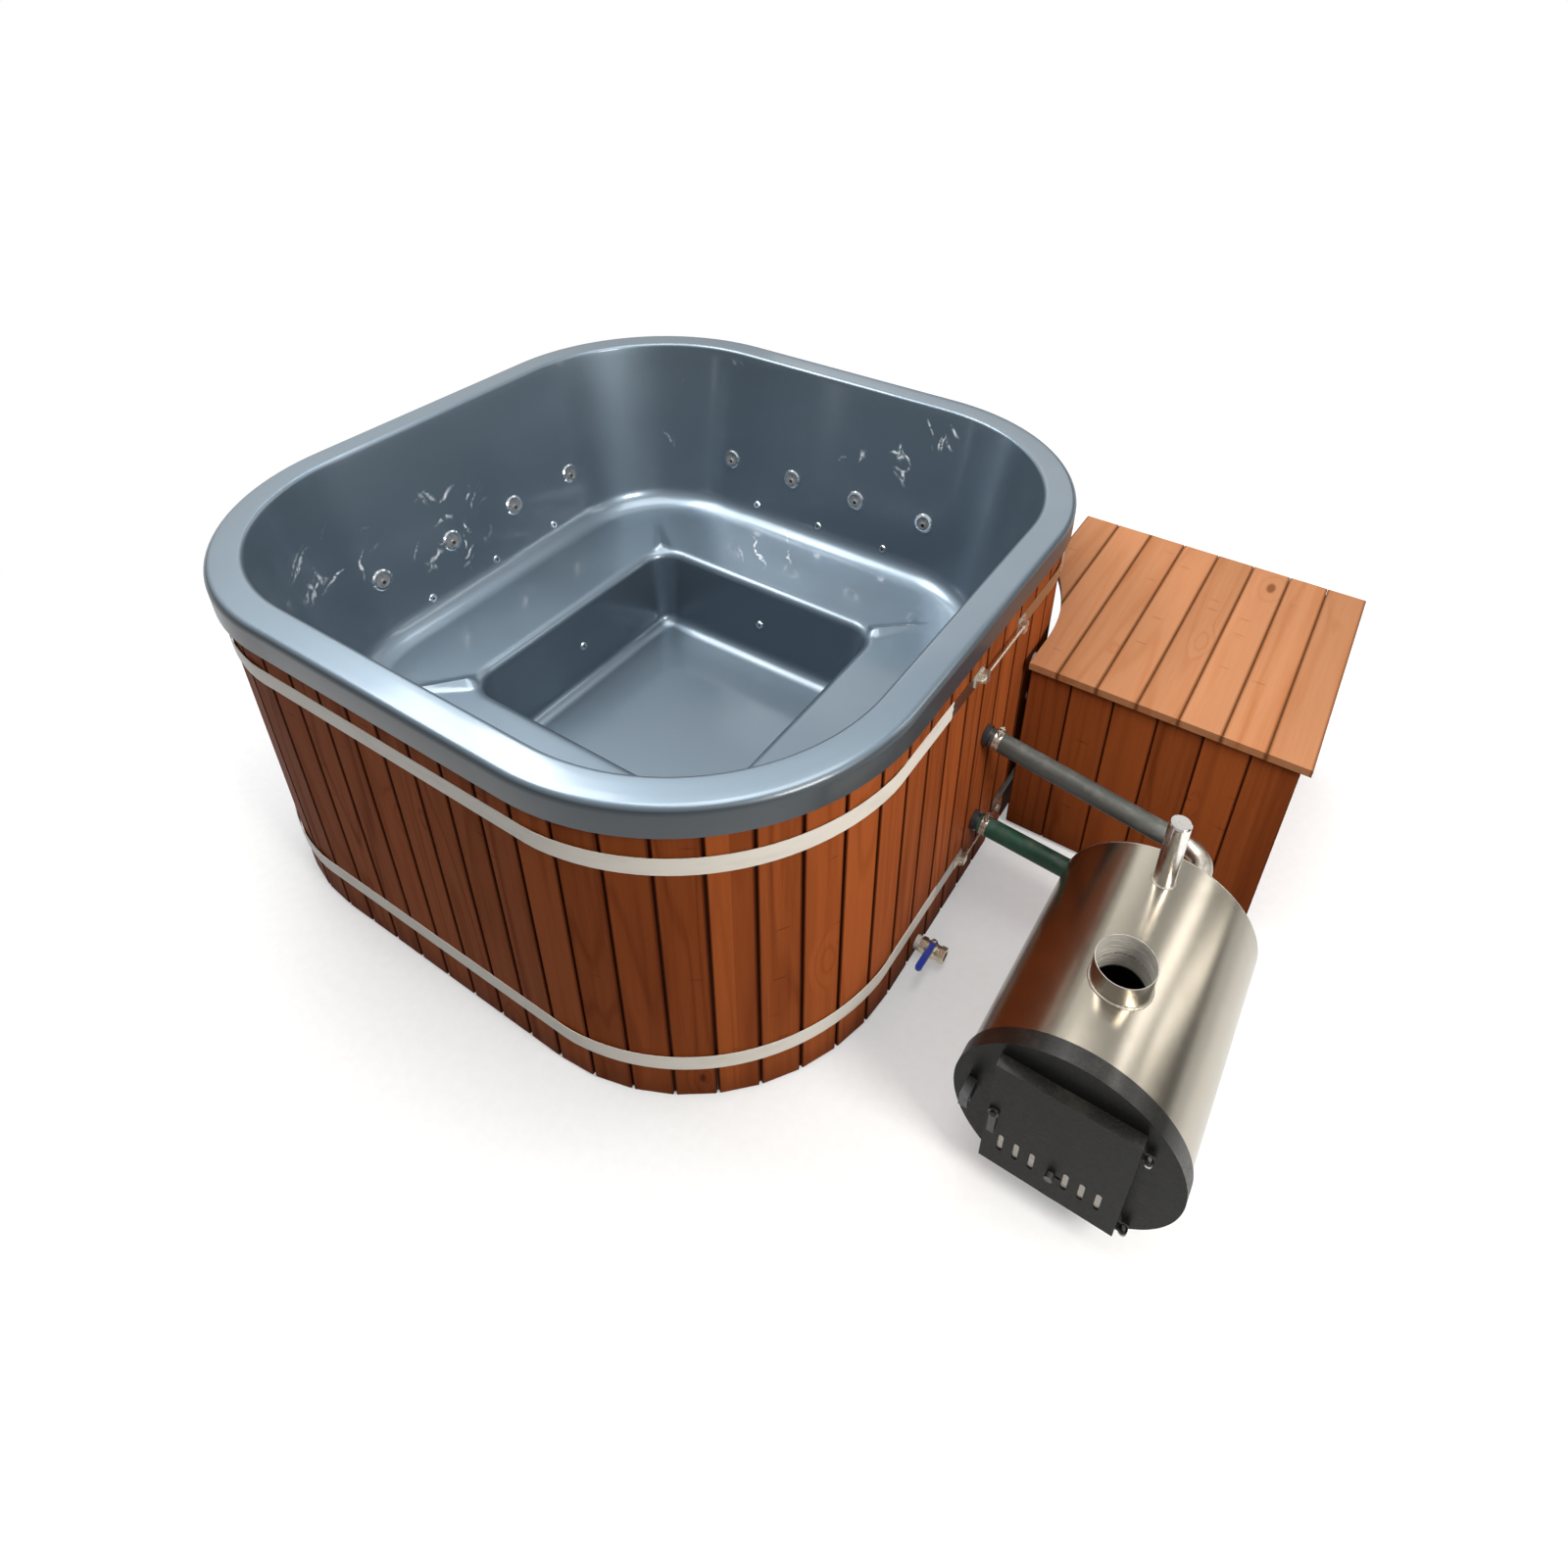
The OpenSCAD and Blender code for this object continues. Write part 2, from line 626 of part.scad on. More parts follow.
module valve_lever_nut() {
  color("#8f9295") translate([val_cx, drain_y, drain_z + 34.3]) difference() {
    hexa(15, 6);
    translate([0, 0, -1]) cylinder(d = 8, h = 10);
  }
}

// stove
module stove_shell() {
  color("#b8b6ae") difference() {
    in_stove() translate([0, sh_y0, 0]) tube_y(stove_d, stove_len);
    in_stove() translate([0, sh_y0 - 1, 0]) tube_y(stove_d - 4, stove_len + 2);
    in_stove() translate([0, flue_y, 0]) cylinder(d = flue_d + 0.4, h = stove_d);
    in_stove() translate([0, vent_y, 0]) cylinder(d = 50.4, h = stove_d);
  }
}
module stove_back_plate() {
  color("#a9a79f") difference() {
    in_stove() translate([0, sh_y1, 0]) tube_y(stove_d, back_t);
    for (z = [st_hi, st_lo]) translate([spig_x, sh_y1 - 1, z]) tube_y(pipe_od + 0.4, 10);
  }
}
module stove_front_plate() {
  color("#3c3f40") in_stove() difference() {
    translate([0, stove_yf, 0]) tube_y(2 * front_r, plate_t + rim_d);
    translate([0, sh_y0, 0]) tube_y(stove_d + 1, rim_d + 1);
    translate([-125, stove_yf - 1, -125]) cube([250, plate_t + 2, 245]);
  }
}
module firebox() {
  color("#4a4541") in_stove() difference() {
    translate([0, sh_y0, 0]) tube_y(2 * fire_r, fire_l);
    translate([0, sh_y0 - 1, 0]) tube_y(2 * fire_r - 8, fire_l - 3);
    translate([0, flue_y, 0]) cylinder(d = flue_d - 3.6, h = stove_d);
  }
}
module grate() {
  color("#2e2b29") in_stove() {
    z = -112;
    w = sqrt(pow(fire_r - 4.15, 2) - z * z);
    difference() {
      translate([-w, sh_y0 + 20, z]) cube([2 * w, 380, 12]);
      for (i = [0 : 6]) translate([-96 + 28 * i, sh_y0 + 45, z - 1]) cube([16, 330, 20]);
    }
  }
}
module flue_collar() {
  color("#c6c4bc") in_stove() difference() {
    translate([0, flue_y, fire_r - 12]) cylinder(d = flue_d, h = stove_d / 2 - fire_r + 12 + flue_h);
    translate([0, flue_y, 0]) cylinder(d = flue_d - 4, h = stove_d);
    translate([0, sh_y0, 0]) tube_y(2 * fire_r + 0.2, fire_l);
  }
}
module vent_stub() {
  color("#c6c4bc") in_stove() difference() {
    union() {
      translate([0, vent_y, stove_d / 2 - 8]) cylinder(d = 50, h = 194);
      translate([0, vent_y, stove_d / 2 + 186]) cylinder(d1 = 50, d2 = 44, h = 4);
    }
    translate([0, vent_y, stove_d / 2 - 10]) cylinder(d = 46, h = 192);
  }
}
module spigot(z, cut) {
  d = pipe_od - cut;
  translate([spig_x, sh_y1 - 12 - cut, z]) tube_y(d, spig_y - bend_r - sh_y1 + 12 + cut);
  translate([spig_x - bend_r, spig_y - bend_r, z]) rotate_extrude(angle = 90)
    translate([bend_r, 0]) circle(d = d);
  translate([hose_x1, spig_y, z]) sphere(d = d + 2);
}
module spigot_leg(z0, z1, cut) {
  along_hose(z0, z1) translate([hose_len(z0, z1) - spig_l - cut, 0, 0])
    tube_x(pipe_od - cut, spig_l + cut);
}
module water_spigots() {
  color("#b9bcbe") for (p = [[port_hi, st_hi], [port_lo, st_lo]]) difference() {
    union() {
      spigot(p[1], 0);
      spigot_leg(p[0], p[1], 0);
    }
    union() {
      spigot(p[1], 6);
      spigot_leg(p[0], p[1], 6);
    }
  }
}
module stove_feet() {
  color("#33363a") for (y = [sh_y0 + 90, sh_y1 - 130]) difference() {
    translate([stove_x - foot_w / 2, y, 0]) cube([foot_w, 40, stove_z]);
    in_stove() translate([0, y - 1, 0]) tube_y(stove_d + 0.2, 42);
    translate([stove_x - foot_w / 2 + 60, y - 1, -1]) cube([foot_w - 120, 42, 16]);
  }
}
module slot_hole(x, w, h) {
  translate([x - w / 2, door_yf - 5, sl_z - h / 2 + w / 2]) cube([w, 40, h - w]);
  for (s = [-1, 1]) translate([x, door_yf - 5, sl_z + s * (h - w) / 2]) tube_y(w, 40);
}
slots = [-115, -80, -45, 29, 64, 99];
module stove_door() {
  color("#35383a") in_stove() difference() {
    union() {
      difference() {
        translate([door_x0, door_yf, door_z0])
          cube([door_x1 - door_x0, door_t, door_z1 - door_z0]);
        translate([door_x0 + 3, door_yf + 3, door_z0 + 3])
          cube([door_x1 - door_x0 - 6, door_t, door_z1 - door_z0 - 6]);
      }
      for (z = [106, -170]) {
        translate([hinge_x, hinge_y, z]) cylinder(d = 18, h = 8);
        translate([door_x1 - 2, hinge_y - 6, z]) cube([hinge_x - door_x1, 12, 8]);
      }
      translate([-141, door_yf + 2, sl_z - sl_r - 8]) cube([272, 9, 8]);
      translate([-141, door_yf + 2, sl_z + sl_r]) cube([272, 9, 8]);
      translate([-141, door_yf + 6.2, sl_z - sl_r - 8]) cube([272, 3, 14]);
      translate([-141, door_yf + 6.2, sl_z + sl_r - 6]) cube([272, 3, 14]);
      translate([latch_x, door_yf - 7, latch_z]) tube_y(8, 8);
      translate([latch_x, door_yf - 10, latch_z]) tube_y(14, 3);
    }
    for (z = [106, -170]) translate([hinge_x, hinge_y, z - 1]) cylinder(d = 8.1, h = 10);
    for (x = slots) slot_hole(x, sl_w, sl_h);
    translate([-5.5, door_yf - 1, sl_z - 4]) cube([25, 5, 8]);
  }
}
module door_hinge_brackets() {
  color("#7a7d7f") in_stove() for (z = [106, -170]) {
    translate([hinge_x, hinge_y, z - 6]) cylinder(d = 18, h = 6);
    translate([hinge_x - 9, hinge_y, z - 6]) cube([18, 15, 6]);
    translate([hinge_x, hinge_y, z - 6]) cylinder(d = 8, h = 20);
  }
}
module door_latch() {
  color("#2b2d2f") in_stove() difference() {
    union() {
      translate([latch_x - 8, door_yf - 6, latch_z - 72]) cube([16, 5, 72]);
      translate([latch_x, door_yf - 6, latch_z]) tube_y(24, 5);
    }
    translate([latch_x, door_yf - 8, latch_z]) tube_y(8.1, 10);
  }
}
module latch_catch() {
  color("#6d7072") in_stove() difference() {
    translate([-214, door_yf - 16, -18]) cube([20, stove_yf - door_yf + 16, 40]);
    translate([-215, door_yf - 8, -20]) cube([22, 9, 20 + latch_z + 10]);
  }
}
module air_slide() {
  color("#b4b2a8") in_stove() difference() {
    translate([-145, sl_y, sl_z - sl_r + 1]) cube([255, 2.5, 2 * sl_r - 2]);
    for (x = slots) translate([-17.5, 0, 0]) slot_hole(x, sl_w, sl_h);
    translate([-1.5, sl_y - 1, sl_z]) tube_y(5, 5);
  }
}
module air_slide_knob() {
  color("#1d1d1d") in_stove() {
    translate([-1.5, door_yf - 14, sl_z]) tube_y(18, 13.5);
    translate([-1.5, door_yf - 2, sl_z]) tube_y(5, 7.8);
  }
}

// box
module box_frame() {
  color("#a98256") {
    for (p = [[bx0, by0 + b_t], [bx1 - b_t - rail, by0 + b_t], [bx1 - b_t - rail, by1 - b_t - rail],
        [lid_x0, by1 - b_t - rail]])
      translate([p[0], p[1], 0]) cube([rail, rail, lid_z]);
    for (z = [15, lid_z - 45]) {
      translate([bx0, by0 + b_t, z]) cube([bx1 - b_t - bx0, rail, 45]);
      translate([lid_x0, by1 - b_t - rail, z]) cube([bx1 - b_t - lid_x0, rail, 45]);
      translate([bx1 - b_t - rail, by0 + b_t, z]) cube([rail, box_d - 2 * b_t, 45]);
    }
    translate([bx0, by0 + b_t, 60]) cube([bx1 - b_t - bx0, box_d - 2 * b_t, 15]);
  }
}
// upright boards with eased outer edges, face towards -Y
module boards(w, h, n) {
  p = w / n;
  for (i = [0 : n - 1]) translate([i * p, 0, 0]) linear_extrude(h)
    polygon([[0.5, 3], [3.5, 0], [p - 3.5, 0], [p - 0.5, 3], [p - 0.5, b_t], [0.5, b_t]]);
}
// the box boards are about 116 wide, the lid boards 108
n_front = round(box_w / 116);
n_right = round((box_d - 2 * b_t) / 116);
n_back = round((bx1 - lid_x0) / 116);
module box_front_boards() {
  color("#a5502b") translate([bx0, by0, 15]) boards(box_w, lid_z - 15, n_front);
}
module box_side_boards() {
  color("#a5502b") translate([bx1, by0 + b_t, 15]) rotate([0, 0, 90])
    boards(box_d - 2 * b_t, lid_z - 15, n_right);
}
module box_back_boards() {
  color("#a5502b") translate([bx1, by1, 15]) rotate([0, 0, 180])
    boards(bx1 - lid_x0, lid_z - 15, n_back);
}
n_lid = round((lid_x1 - lid_x0) / 108);
module lid_boards() {
  p = (lid_x1 - lid_x0) / n_lid;
  color("#b8663a") for (i = [0 : n_lid - 1]) difference() {
    translate([lid_x0 + i * p, by1, lid_z]) rotate([90, 0, 0]) linear_extrude(by1 - lid_y0)
      polygon([[0.5, 0], [p - 0.5, 0], [p - 0.5, lid_t - 2.5], [p - 3, lid_t], [3, lid_t],
        [0.5, lid_t - 2.5]]);
    if (lid_x0 + i * p < bx0) {
      translate([cc, cc, lid_z - 1]) cylinder(r = corner_r + 6, h = lid_t + 2);
      translate([cc, lid_y0 - 1, lid_z - 1]) cube([corner_r + 6, cc - lid_y0 + 1, lid_t + 2]);
    }
  }
}
module lid_battens() {
  color("#a98256") {
    translate([bx0 + 44, by0 + 125, lid_z - 22]) cube([bx1 - bx0 - 100, 40, 22]);
    translate([lid_x0 + 40, by1 - 140, lid_z - 22]) cube([bx1 - lid_x0 - 100, 40, 22]);
  }
}
module lid_hinge_leaves() {
  color("#b9bcbe") for (x = hin_x) difference() {
    union() {
      translate([x, by1, hin_z - 40]) cube([50, 2.5, 37]);
      for (k = [0, 35]) translate([x + k, 0, 0]) {
        translate([0, hin_y, hin_z]) tube_x(10, 15);
        translate([0, by1, hin_z - 4]) cube([15, 6, 4]);
      }
      translate([x, hin_y, hin_z]) tube_x(4, 50);
    }
    translate([x + 14.7, by1 - 1, hin_z - 6]) cube([20.6, 4.2, 8]);
  }
}
module lid_hinge_flaps() {
  color("#b9bcbe") for (x = hin_x) difference() {
    union() {
      translate([x + 15.3, by1, hin_z + 1]) cube([19.4, 6, 4]);
      translate([x + 15.3, hin_y, hin_z]) tube_x(10, 19.4);
      translate([x, by1, hin_z + 5.5]) cube([50, 2.5, lid_t - 6.5]);
      translate([x + 15.3, by1, hin_z + 3]) cube([19.4, 2.5, 6]);
    }
    translate([x, hin_y, hin_z]) tube_x(4.1, 50);
  }
}
module massage_pump() {
  color("#2f3336") {
    translate([drop_x - 40, pump_cy, deck_z + 85]) tube_x(150, 90);
    translate([drop_x, pump_y, deck_z + 85]) cylinder(d = 40, h = 95);
    translate([drop_x + 45, pump_cy, deck_z + 85]) tube_x(128, 210);
    for (k = [0 : 4]) translate([drop_x + 80 + 30 * k, pump_cy, deck_z + 85]) tube_x(138, 8);
    translate([drop_x - 20, pump_cy - 45, deck_z]) cube([240, 90, 60]);
  }
}
module air_blower() {
  color("#3a3d42") {
    translate([blow_x, blow_y, deck_z]) cylinder(d = 170, h = 110);
    translate([blow_x, blow_y, deck_z + 105]) cylinder(d1 = 130, d2 = 110, h = 100);
    translate([blow_x, blow_y, deck_z + 190]) cylinder(d = apipe_d + 8, h = pa_z - deck_z - 190);
    translate([blow_x, blow_y, pa_z]) sphere(d = apipe_d + 8);
    translate([blow_x, blow_y - 60, pa_z]) tube_y(apipe_d + 8, 60);
  }
}

tub_liner();
staves_straight();
staves_drilled();
staves_corner();
band_upper();
band_lower();
band_lugs();
band_bolts();
floor_bearers();
base_panel();
ring_frames();
frame_posts();
jet_bodies();
jet_nozzle_1();
jet_nozzle_2();
jet_nozzle_3();
jet_nozzle_4();
jet_nozzle_5();
jet_nozzle_6();
jet_nozzle_7();
jet_nozzle_8();
air_nozzles();
jet_water_pipe();
jet_air_pipe();
port_fittings();
hose_clamps();
upper_hose();
lower_hose();
drain_fitting();
drain_pipe();
valve_body();
valve_ball();
valve_lever();
valve_lever_nut();
stove_shell();
stove_back_plate();
stove_front_plate();
firebox();
grate();
flue_collar();
vent_stub();
water_spigots();
stove_feet();
stove_door();
door_hinge_brackets();
door_latch();
latch_catch();
air_slide();
air_slide_knob();
box_frame();
box_front_boards();
box_side_boards();
box_back_boards();
lid_boards();
lid_battens();
lid_hinge_leaves();
lid_hinge_flaps();
massage_pump();
air_blower();
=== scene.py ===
import math
from functools import partial

import bpy
from bpy.props import FloatProperty, FloatVectorProperty, PointerProperty
from mathutils import Matrix, Vector


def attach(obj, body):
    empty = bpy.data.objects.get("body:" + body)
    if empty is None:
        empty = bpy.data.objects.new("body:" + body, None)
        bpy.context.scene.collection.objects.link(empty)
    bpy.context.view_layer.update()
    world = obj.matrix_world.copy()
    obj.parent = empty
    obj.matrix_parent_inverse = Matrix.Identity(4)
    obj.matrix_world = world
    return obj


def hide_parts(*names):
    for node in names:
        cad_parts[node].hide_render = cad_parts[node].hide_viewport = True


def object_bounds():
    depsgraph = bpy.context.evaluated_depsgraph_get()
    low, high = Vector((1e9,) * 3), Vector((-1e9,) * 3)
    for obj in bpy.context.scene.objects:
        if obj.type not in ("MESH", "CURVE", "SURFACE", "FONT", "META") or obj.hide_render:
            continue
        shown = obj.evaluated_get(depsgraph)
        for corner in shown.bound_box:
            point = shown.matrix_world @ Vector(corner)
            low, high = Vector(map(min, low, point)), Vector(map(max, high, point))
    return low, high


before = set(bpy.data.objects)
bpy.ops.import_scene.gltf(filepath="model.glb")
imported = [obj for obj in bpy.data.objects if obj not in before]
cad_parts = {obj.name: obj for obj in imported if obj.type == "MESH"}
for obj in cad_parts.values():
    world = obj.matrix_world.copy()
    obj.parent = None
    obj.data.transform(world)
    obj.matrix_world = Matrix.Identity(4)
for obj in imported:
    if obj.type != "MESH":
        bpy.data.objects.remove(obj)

bl_info = {
    "name": "Square wood-fired hot tub",
    "version": (1, 0, 0),
    "blender": (4, 5, 0),
    "location": "View3D > Sidebar > Hot Tub",
    "description": "Dresses the hot tub's frame with its liner, bands, hoses, welds and finishes",
    "category": "Object",
}

CAD_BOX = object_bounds()

# plan: the tub's corners turn about (+-CORNER, +-CORNER), the footwell's about WELL_CORNER
CORNER, WELL_CORNER = 0.400, 0.350
QUARTERS = ((1, 1), (-1, 1), (-1, -1), (1, -1))

# liner: heights, wall, leans, radii from the corner points, depths of the skirt under the rim, and
# the rounds between its faces
RIM_Z, BENCH_Z, FLOOR_Z = CAD_BOX[1][2], 0.400, 0.120
SHELL = 0.008
TILT, WELL_TILT = math.radians(13), math.radians(7)
RIM_R, RIM_ROUND, RIM_FLAT = -CAD_BOX[0][0] - CORNER, 0.019, (0.562, 0.542)
SKIRT_FOOT, SKIRT_TOP = 0.076, 0.055
LIP_R, LIP_ROUND = 0.522, 0.014
BENCH_COVE, FLOOR_COVE = 0.080, 0.050
WELL_TURN, WELL_EDGE = 0.117, 0.030

# ridges on the bench: gap to the footwell's corner, reach, half width, and the shares of the reach
# that they start early by and rise over
RIDGE_GAP, RIDGE_REACH, RIDGE_WIDE, RIDGE_LEAD, RIDGE_RISE = 0.004, 0.215, 0.034, 0.08, 0.12

# the frame's own footwell, whose wall the holes there are placed on: its floor's corners and cove
WELL_FOOT_R, WELL_FOOT_COVE = 0.0205, 0.040

# holes in the liner: heights, spacing and radii
JET_Z, JET_GAP, JET_HOLE = 0.600, 0.268, 0.0276
AIR_Z, WELL_NOZZLE_Z, AIR_HOLE = 0.462, 0.250, 0.0083
HOSE_Y, PORT_HIGH, PORT_LOW, PORT_HOLE = 0.060, 0.548, 0.226, 0.0246
DRAIN_AT, DRAIN_HOLE = (0.300, -0.250, FLOOR_Z), 0.0256

# smears: centre and reach of each place where the photograph shows dry polish
SMEAR_PLACES = (
    ((-0.832, -0.127, 0.647), 0.19), ((-0.853, -0.489, 0.720), 0.13),
    ((-0.857, -0.666, 0.740), 0.13), ((-0.721, 0.810, 0.580), 0.15),
    ((-0.658, 0.885, 0.877), 0.08), ((-0.450, 0.896, 0.900), 0.09),
    ((0.278, 0.863, 0.783), 0.10), ((0.409, 0.897, 0.915), 0.08),
    ((0.109, 0.848, 0.719), 0.08), ((0.730, 0.840, 0.683), 0.09),
    ((-0.106, 0.640, 0.410), 0.13),
)

# staves: the width of a straight one and the turn of a corner one, the flat face, and the
# radius of the corners about their points
STAVE_WIDE, STAVE_TURN = 0.1, math.radians(10)
FACE, STAVE_R = 0.985, 0.585

# bands: how far they ride clear of the corner staves' edges
BAND_CLEAR = 0.0022
# piece, node, height, ends of the strip along y, stretch of the hose side without film
BANDS = (
    ("upper_band_strip", "band_upper", 0.820, (-0.025, 0.185), (-0.187, 0.523)),
    ("lower_band_strip", "band_lower", 0.146, (-0.005, 0.205), (-0.162, 2.0)),
)

# hoses: they run between these x, less HOSE_INSET at each end
PORT_X, SPIGOT_X, HOSE_INSET = 0.991, 1.520, 0.014
HOSE_R, HOSE_BORE = 0.0279, 0.0243
# piece, node, slot, height at the port and at the spigot, property with its colour
HOSES = (
    ("upper_rubber_hose", "upper_hose", "grey_rubber", PORT_HIGH, 0.467, "hose_black"),
    ("lower_rubber_hose", "lower_hose", "green_rubber", PORT_LOW, 0.182, "hose_green"),
)

# stove: axis, jacket and the tubes on top of it
STOVE_X, STOVE_Z, SHELL_R = 1.515, 0.277, 0.240
FLUE_Y, FLUE_BORE = -0.415, 0.0638
# piece, y, radius of the tube, radius of the bead
WELDS = (("flue_weld", FLUE_Y, 0.065, 0.0032), ("vent_weld", -0.117, 0.025, 0.0024))
WELD_CLEAR = 0.0008

# box: axis across the boards, start of the first, width of one, seed, and the reach of the shade
# painted beside each joint, for each face
BOX_FRONT = (0, 1.006, 0.704 / 6, 11.0, 0.055)
BOX_SIDE = (1, 0.313, 0.769 / 7, 47.0, 0.055)
BOX_BACK = (0, 0.870, 0.840 / 7, 83.0, 0.055)
BOX_LID = (0, 0.870, 0.863 / 8, 5.0, 0.085)

# studio: name, place, aim, size, power and colour of each lamp panel
LAMPS = (
    ("top_panel", (0.4, 0.2, 4.4), (0.3, 0.0, 0.4), (3.0, 2.4), 102.0, (1.0, 0.98, 0.95)),
    ("key_panel", (4.2, -1.2, 3.0), (0.9, -0.2, 0.4), (1.4, 1.4), 170.0, (1.0, 0.95, 0.88)),
    ("cove_panel", (-2.1, -0.1, 4.2), (0.0, 0.4, 0.45), (2.6, 1.6), 112.0, (1.0, 0.99, 0.97)),
    ("glint_panel", (-1.39, 0.42, 3.0), (0.38, -0.90, 0.99), (0.35, 0.35), 4.5,
     (1.0, 1.0, 1.0)),
    ("far_panel", (-0.3, 4.0, 3.4), (0.0, 0.0, 0.6), (4.6, 1.8), 26.0, (1.0, 0.99, 0.97)),
    ("stove_panel", (3.6, 2.6, 3.6), (1.5, -0.4, 0.5), (0.7, 2.0), 17.0, (1.0, 0.98, 0.95)),
    ("streak_panel", (4.5, 2.2, 2.1), (1.5, -0.4, 0.5), (0.35, 2.0), 10.0, (1.0, 0.97, 0.92)),
)
# half the side of the floor, its depth under the bearers, and the way to the room's bright corner
FLOOR_HALF, FLOOR_DROP = 14.0, 0.0005
BRIGHT_CORNER = (-0.734, 0.342, 0.587)

# camera, fitted to the outlines of the photograph: place in metres, angles in degrees, focus and
# centre in the photograph's pixels, sensor in millimetres
CAMERA_AT = (1.6424, -1.8472, 2.4209)
CAMERA_AZIMUTH, CAMERA_ELEVATION, CAMERA_ROLL = 31.8349, 32.8471, 1.2005
PHOTO_SIZE, PHOTO_FOCUS, PHOTO_CENTRE = 1600.0, 1038.59, (835.38, 548.17)
SENSOR = 36.0


# Sizes and colours that a user can change

def colour(name, description, default):
    """A colour that a user can change."""
    return FloatVectorProperty(name=name, description=description, subtype="COLOR",
                               size=3, min=0.0, max=1.0, default=default)


def amount(name, description, default):
    """A share from 0 to 1 that a user can change."""
    return FloatProperty(name=name, description=description, subtype="FACTOR",
                         min=0.0, max=1.0, default=default)


def measure(name, description, default, largest):
    """A length that a user can change."""
    return FloatProperty(name=name, description=description, subtype="DISTANCE",
                         unit="LENGTH", min=0.0, max=largest, default=default)


class TUB_PG_liner(bpy.types.PropertyGroup):
    """Gelcoat, polish and ridges of the liner"""
    gelcoat: colour("Gelcoat", "Colour of the moulded liner", (0.140, 0.187, 0.233))
    flake: amount("Flake", "How strongly the metallic flake shows", 0.35)
    smears: amount("Smears", "How much dry polish is left on the walls", 0.85)
    ridge_height: measure("Ridge height", "Height of the bench corners' ridges", 0.017, 0.03)


class TUB_PG_timber(bpy.types.PropertyGroup):
    """Stains and bare timber"""
    # the dark stains, darkened further, also paint the shade beside each joint and colour the
    # darkening towards the bottom
    stave_light: colour("Stave light", "Stain on the early wood", (0.290, 0.073, 0.019))
    stave_dark: colour("Stave dark", "Stain on the late wood and knots", (0.110, 0.022, 0.006))
    lid_light: colour("Lid light", "Fresh stain on the lid", (0.352, 0.161, 0.079))
    lid_dark: colour("Lid dark", "Stain in the lid's grain", (0.273, 0.098, 0.035))
    frame_wood: colour("Frame timber", "Bare timber of the frames", (0.480, 0.300, 0.150))
    board_change: amount("Board change", "Difference from board to board", 0.35)


class TUB_PG_metal(bpy.types.PropertyGroup):
    """Bands, steel, stove paint and rubber"""
    band_width: measure("Band width", "Width of the two bands", 0.048, 0.06)
    band_thickness: measure("Band thickness", "Thickness of the two bands", 0.0015, 0.003)
    film: colour("Band film", "Protective film on the bands", (0.66, 0.63, 0.58))
    # darker copies of this stainless paint shade on the stove jacket and the air slide
    stainless: colour("Stainless", "Colour of the stainless sheet", (0.50, 0.470, 0.415))
    enamel: colour("Stove paint", "Hammered paint on the stove front", (0.0062, 0.0062, 0.0056))
    hose_black: colour("Upper hose", "Rubber of the upper hose", (0.042, 0.044, 0.040))
    hose_green: colour("Lower hose", "Rubber of the lower hose", (0.003, 0.048, 0.026))


# Shader nodes and the effects that finishes share

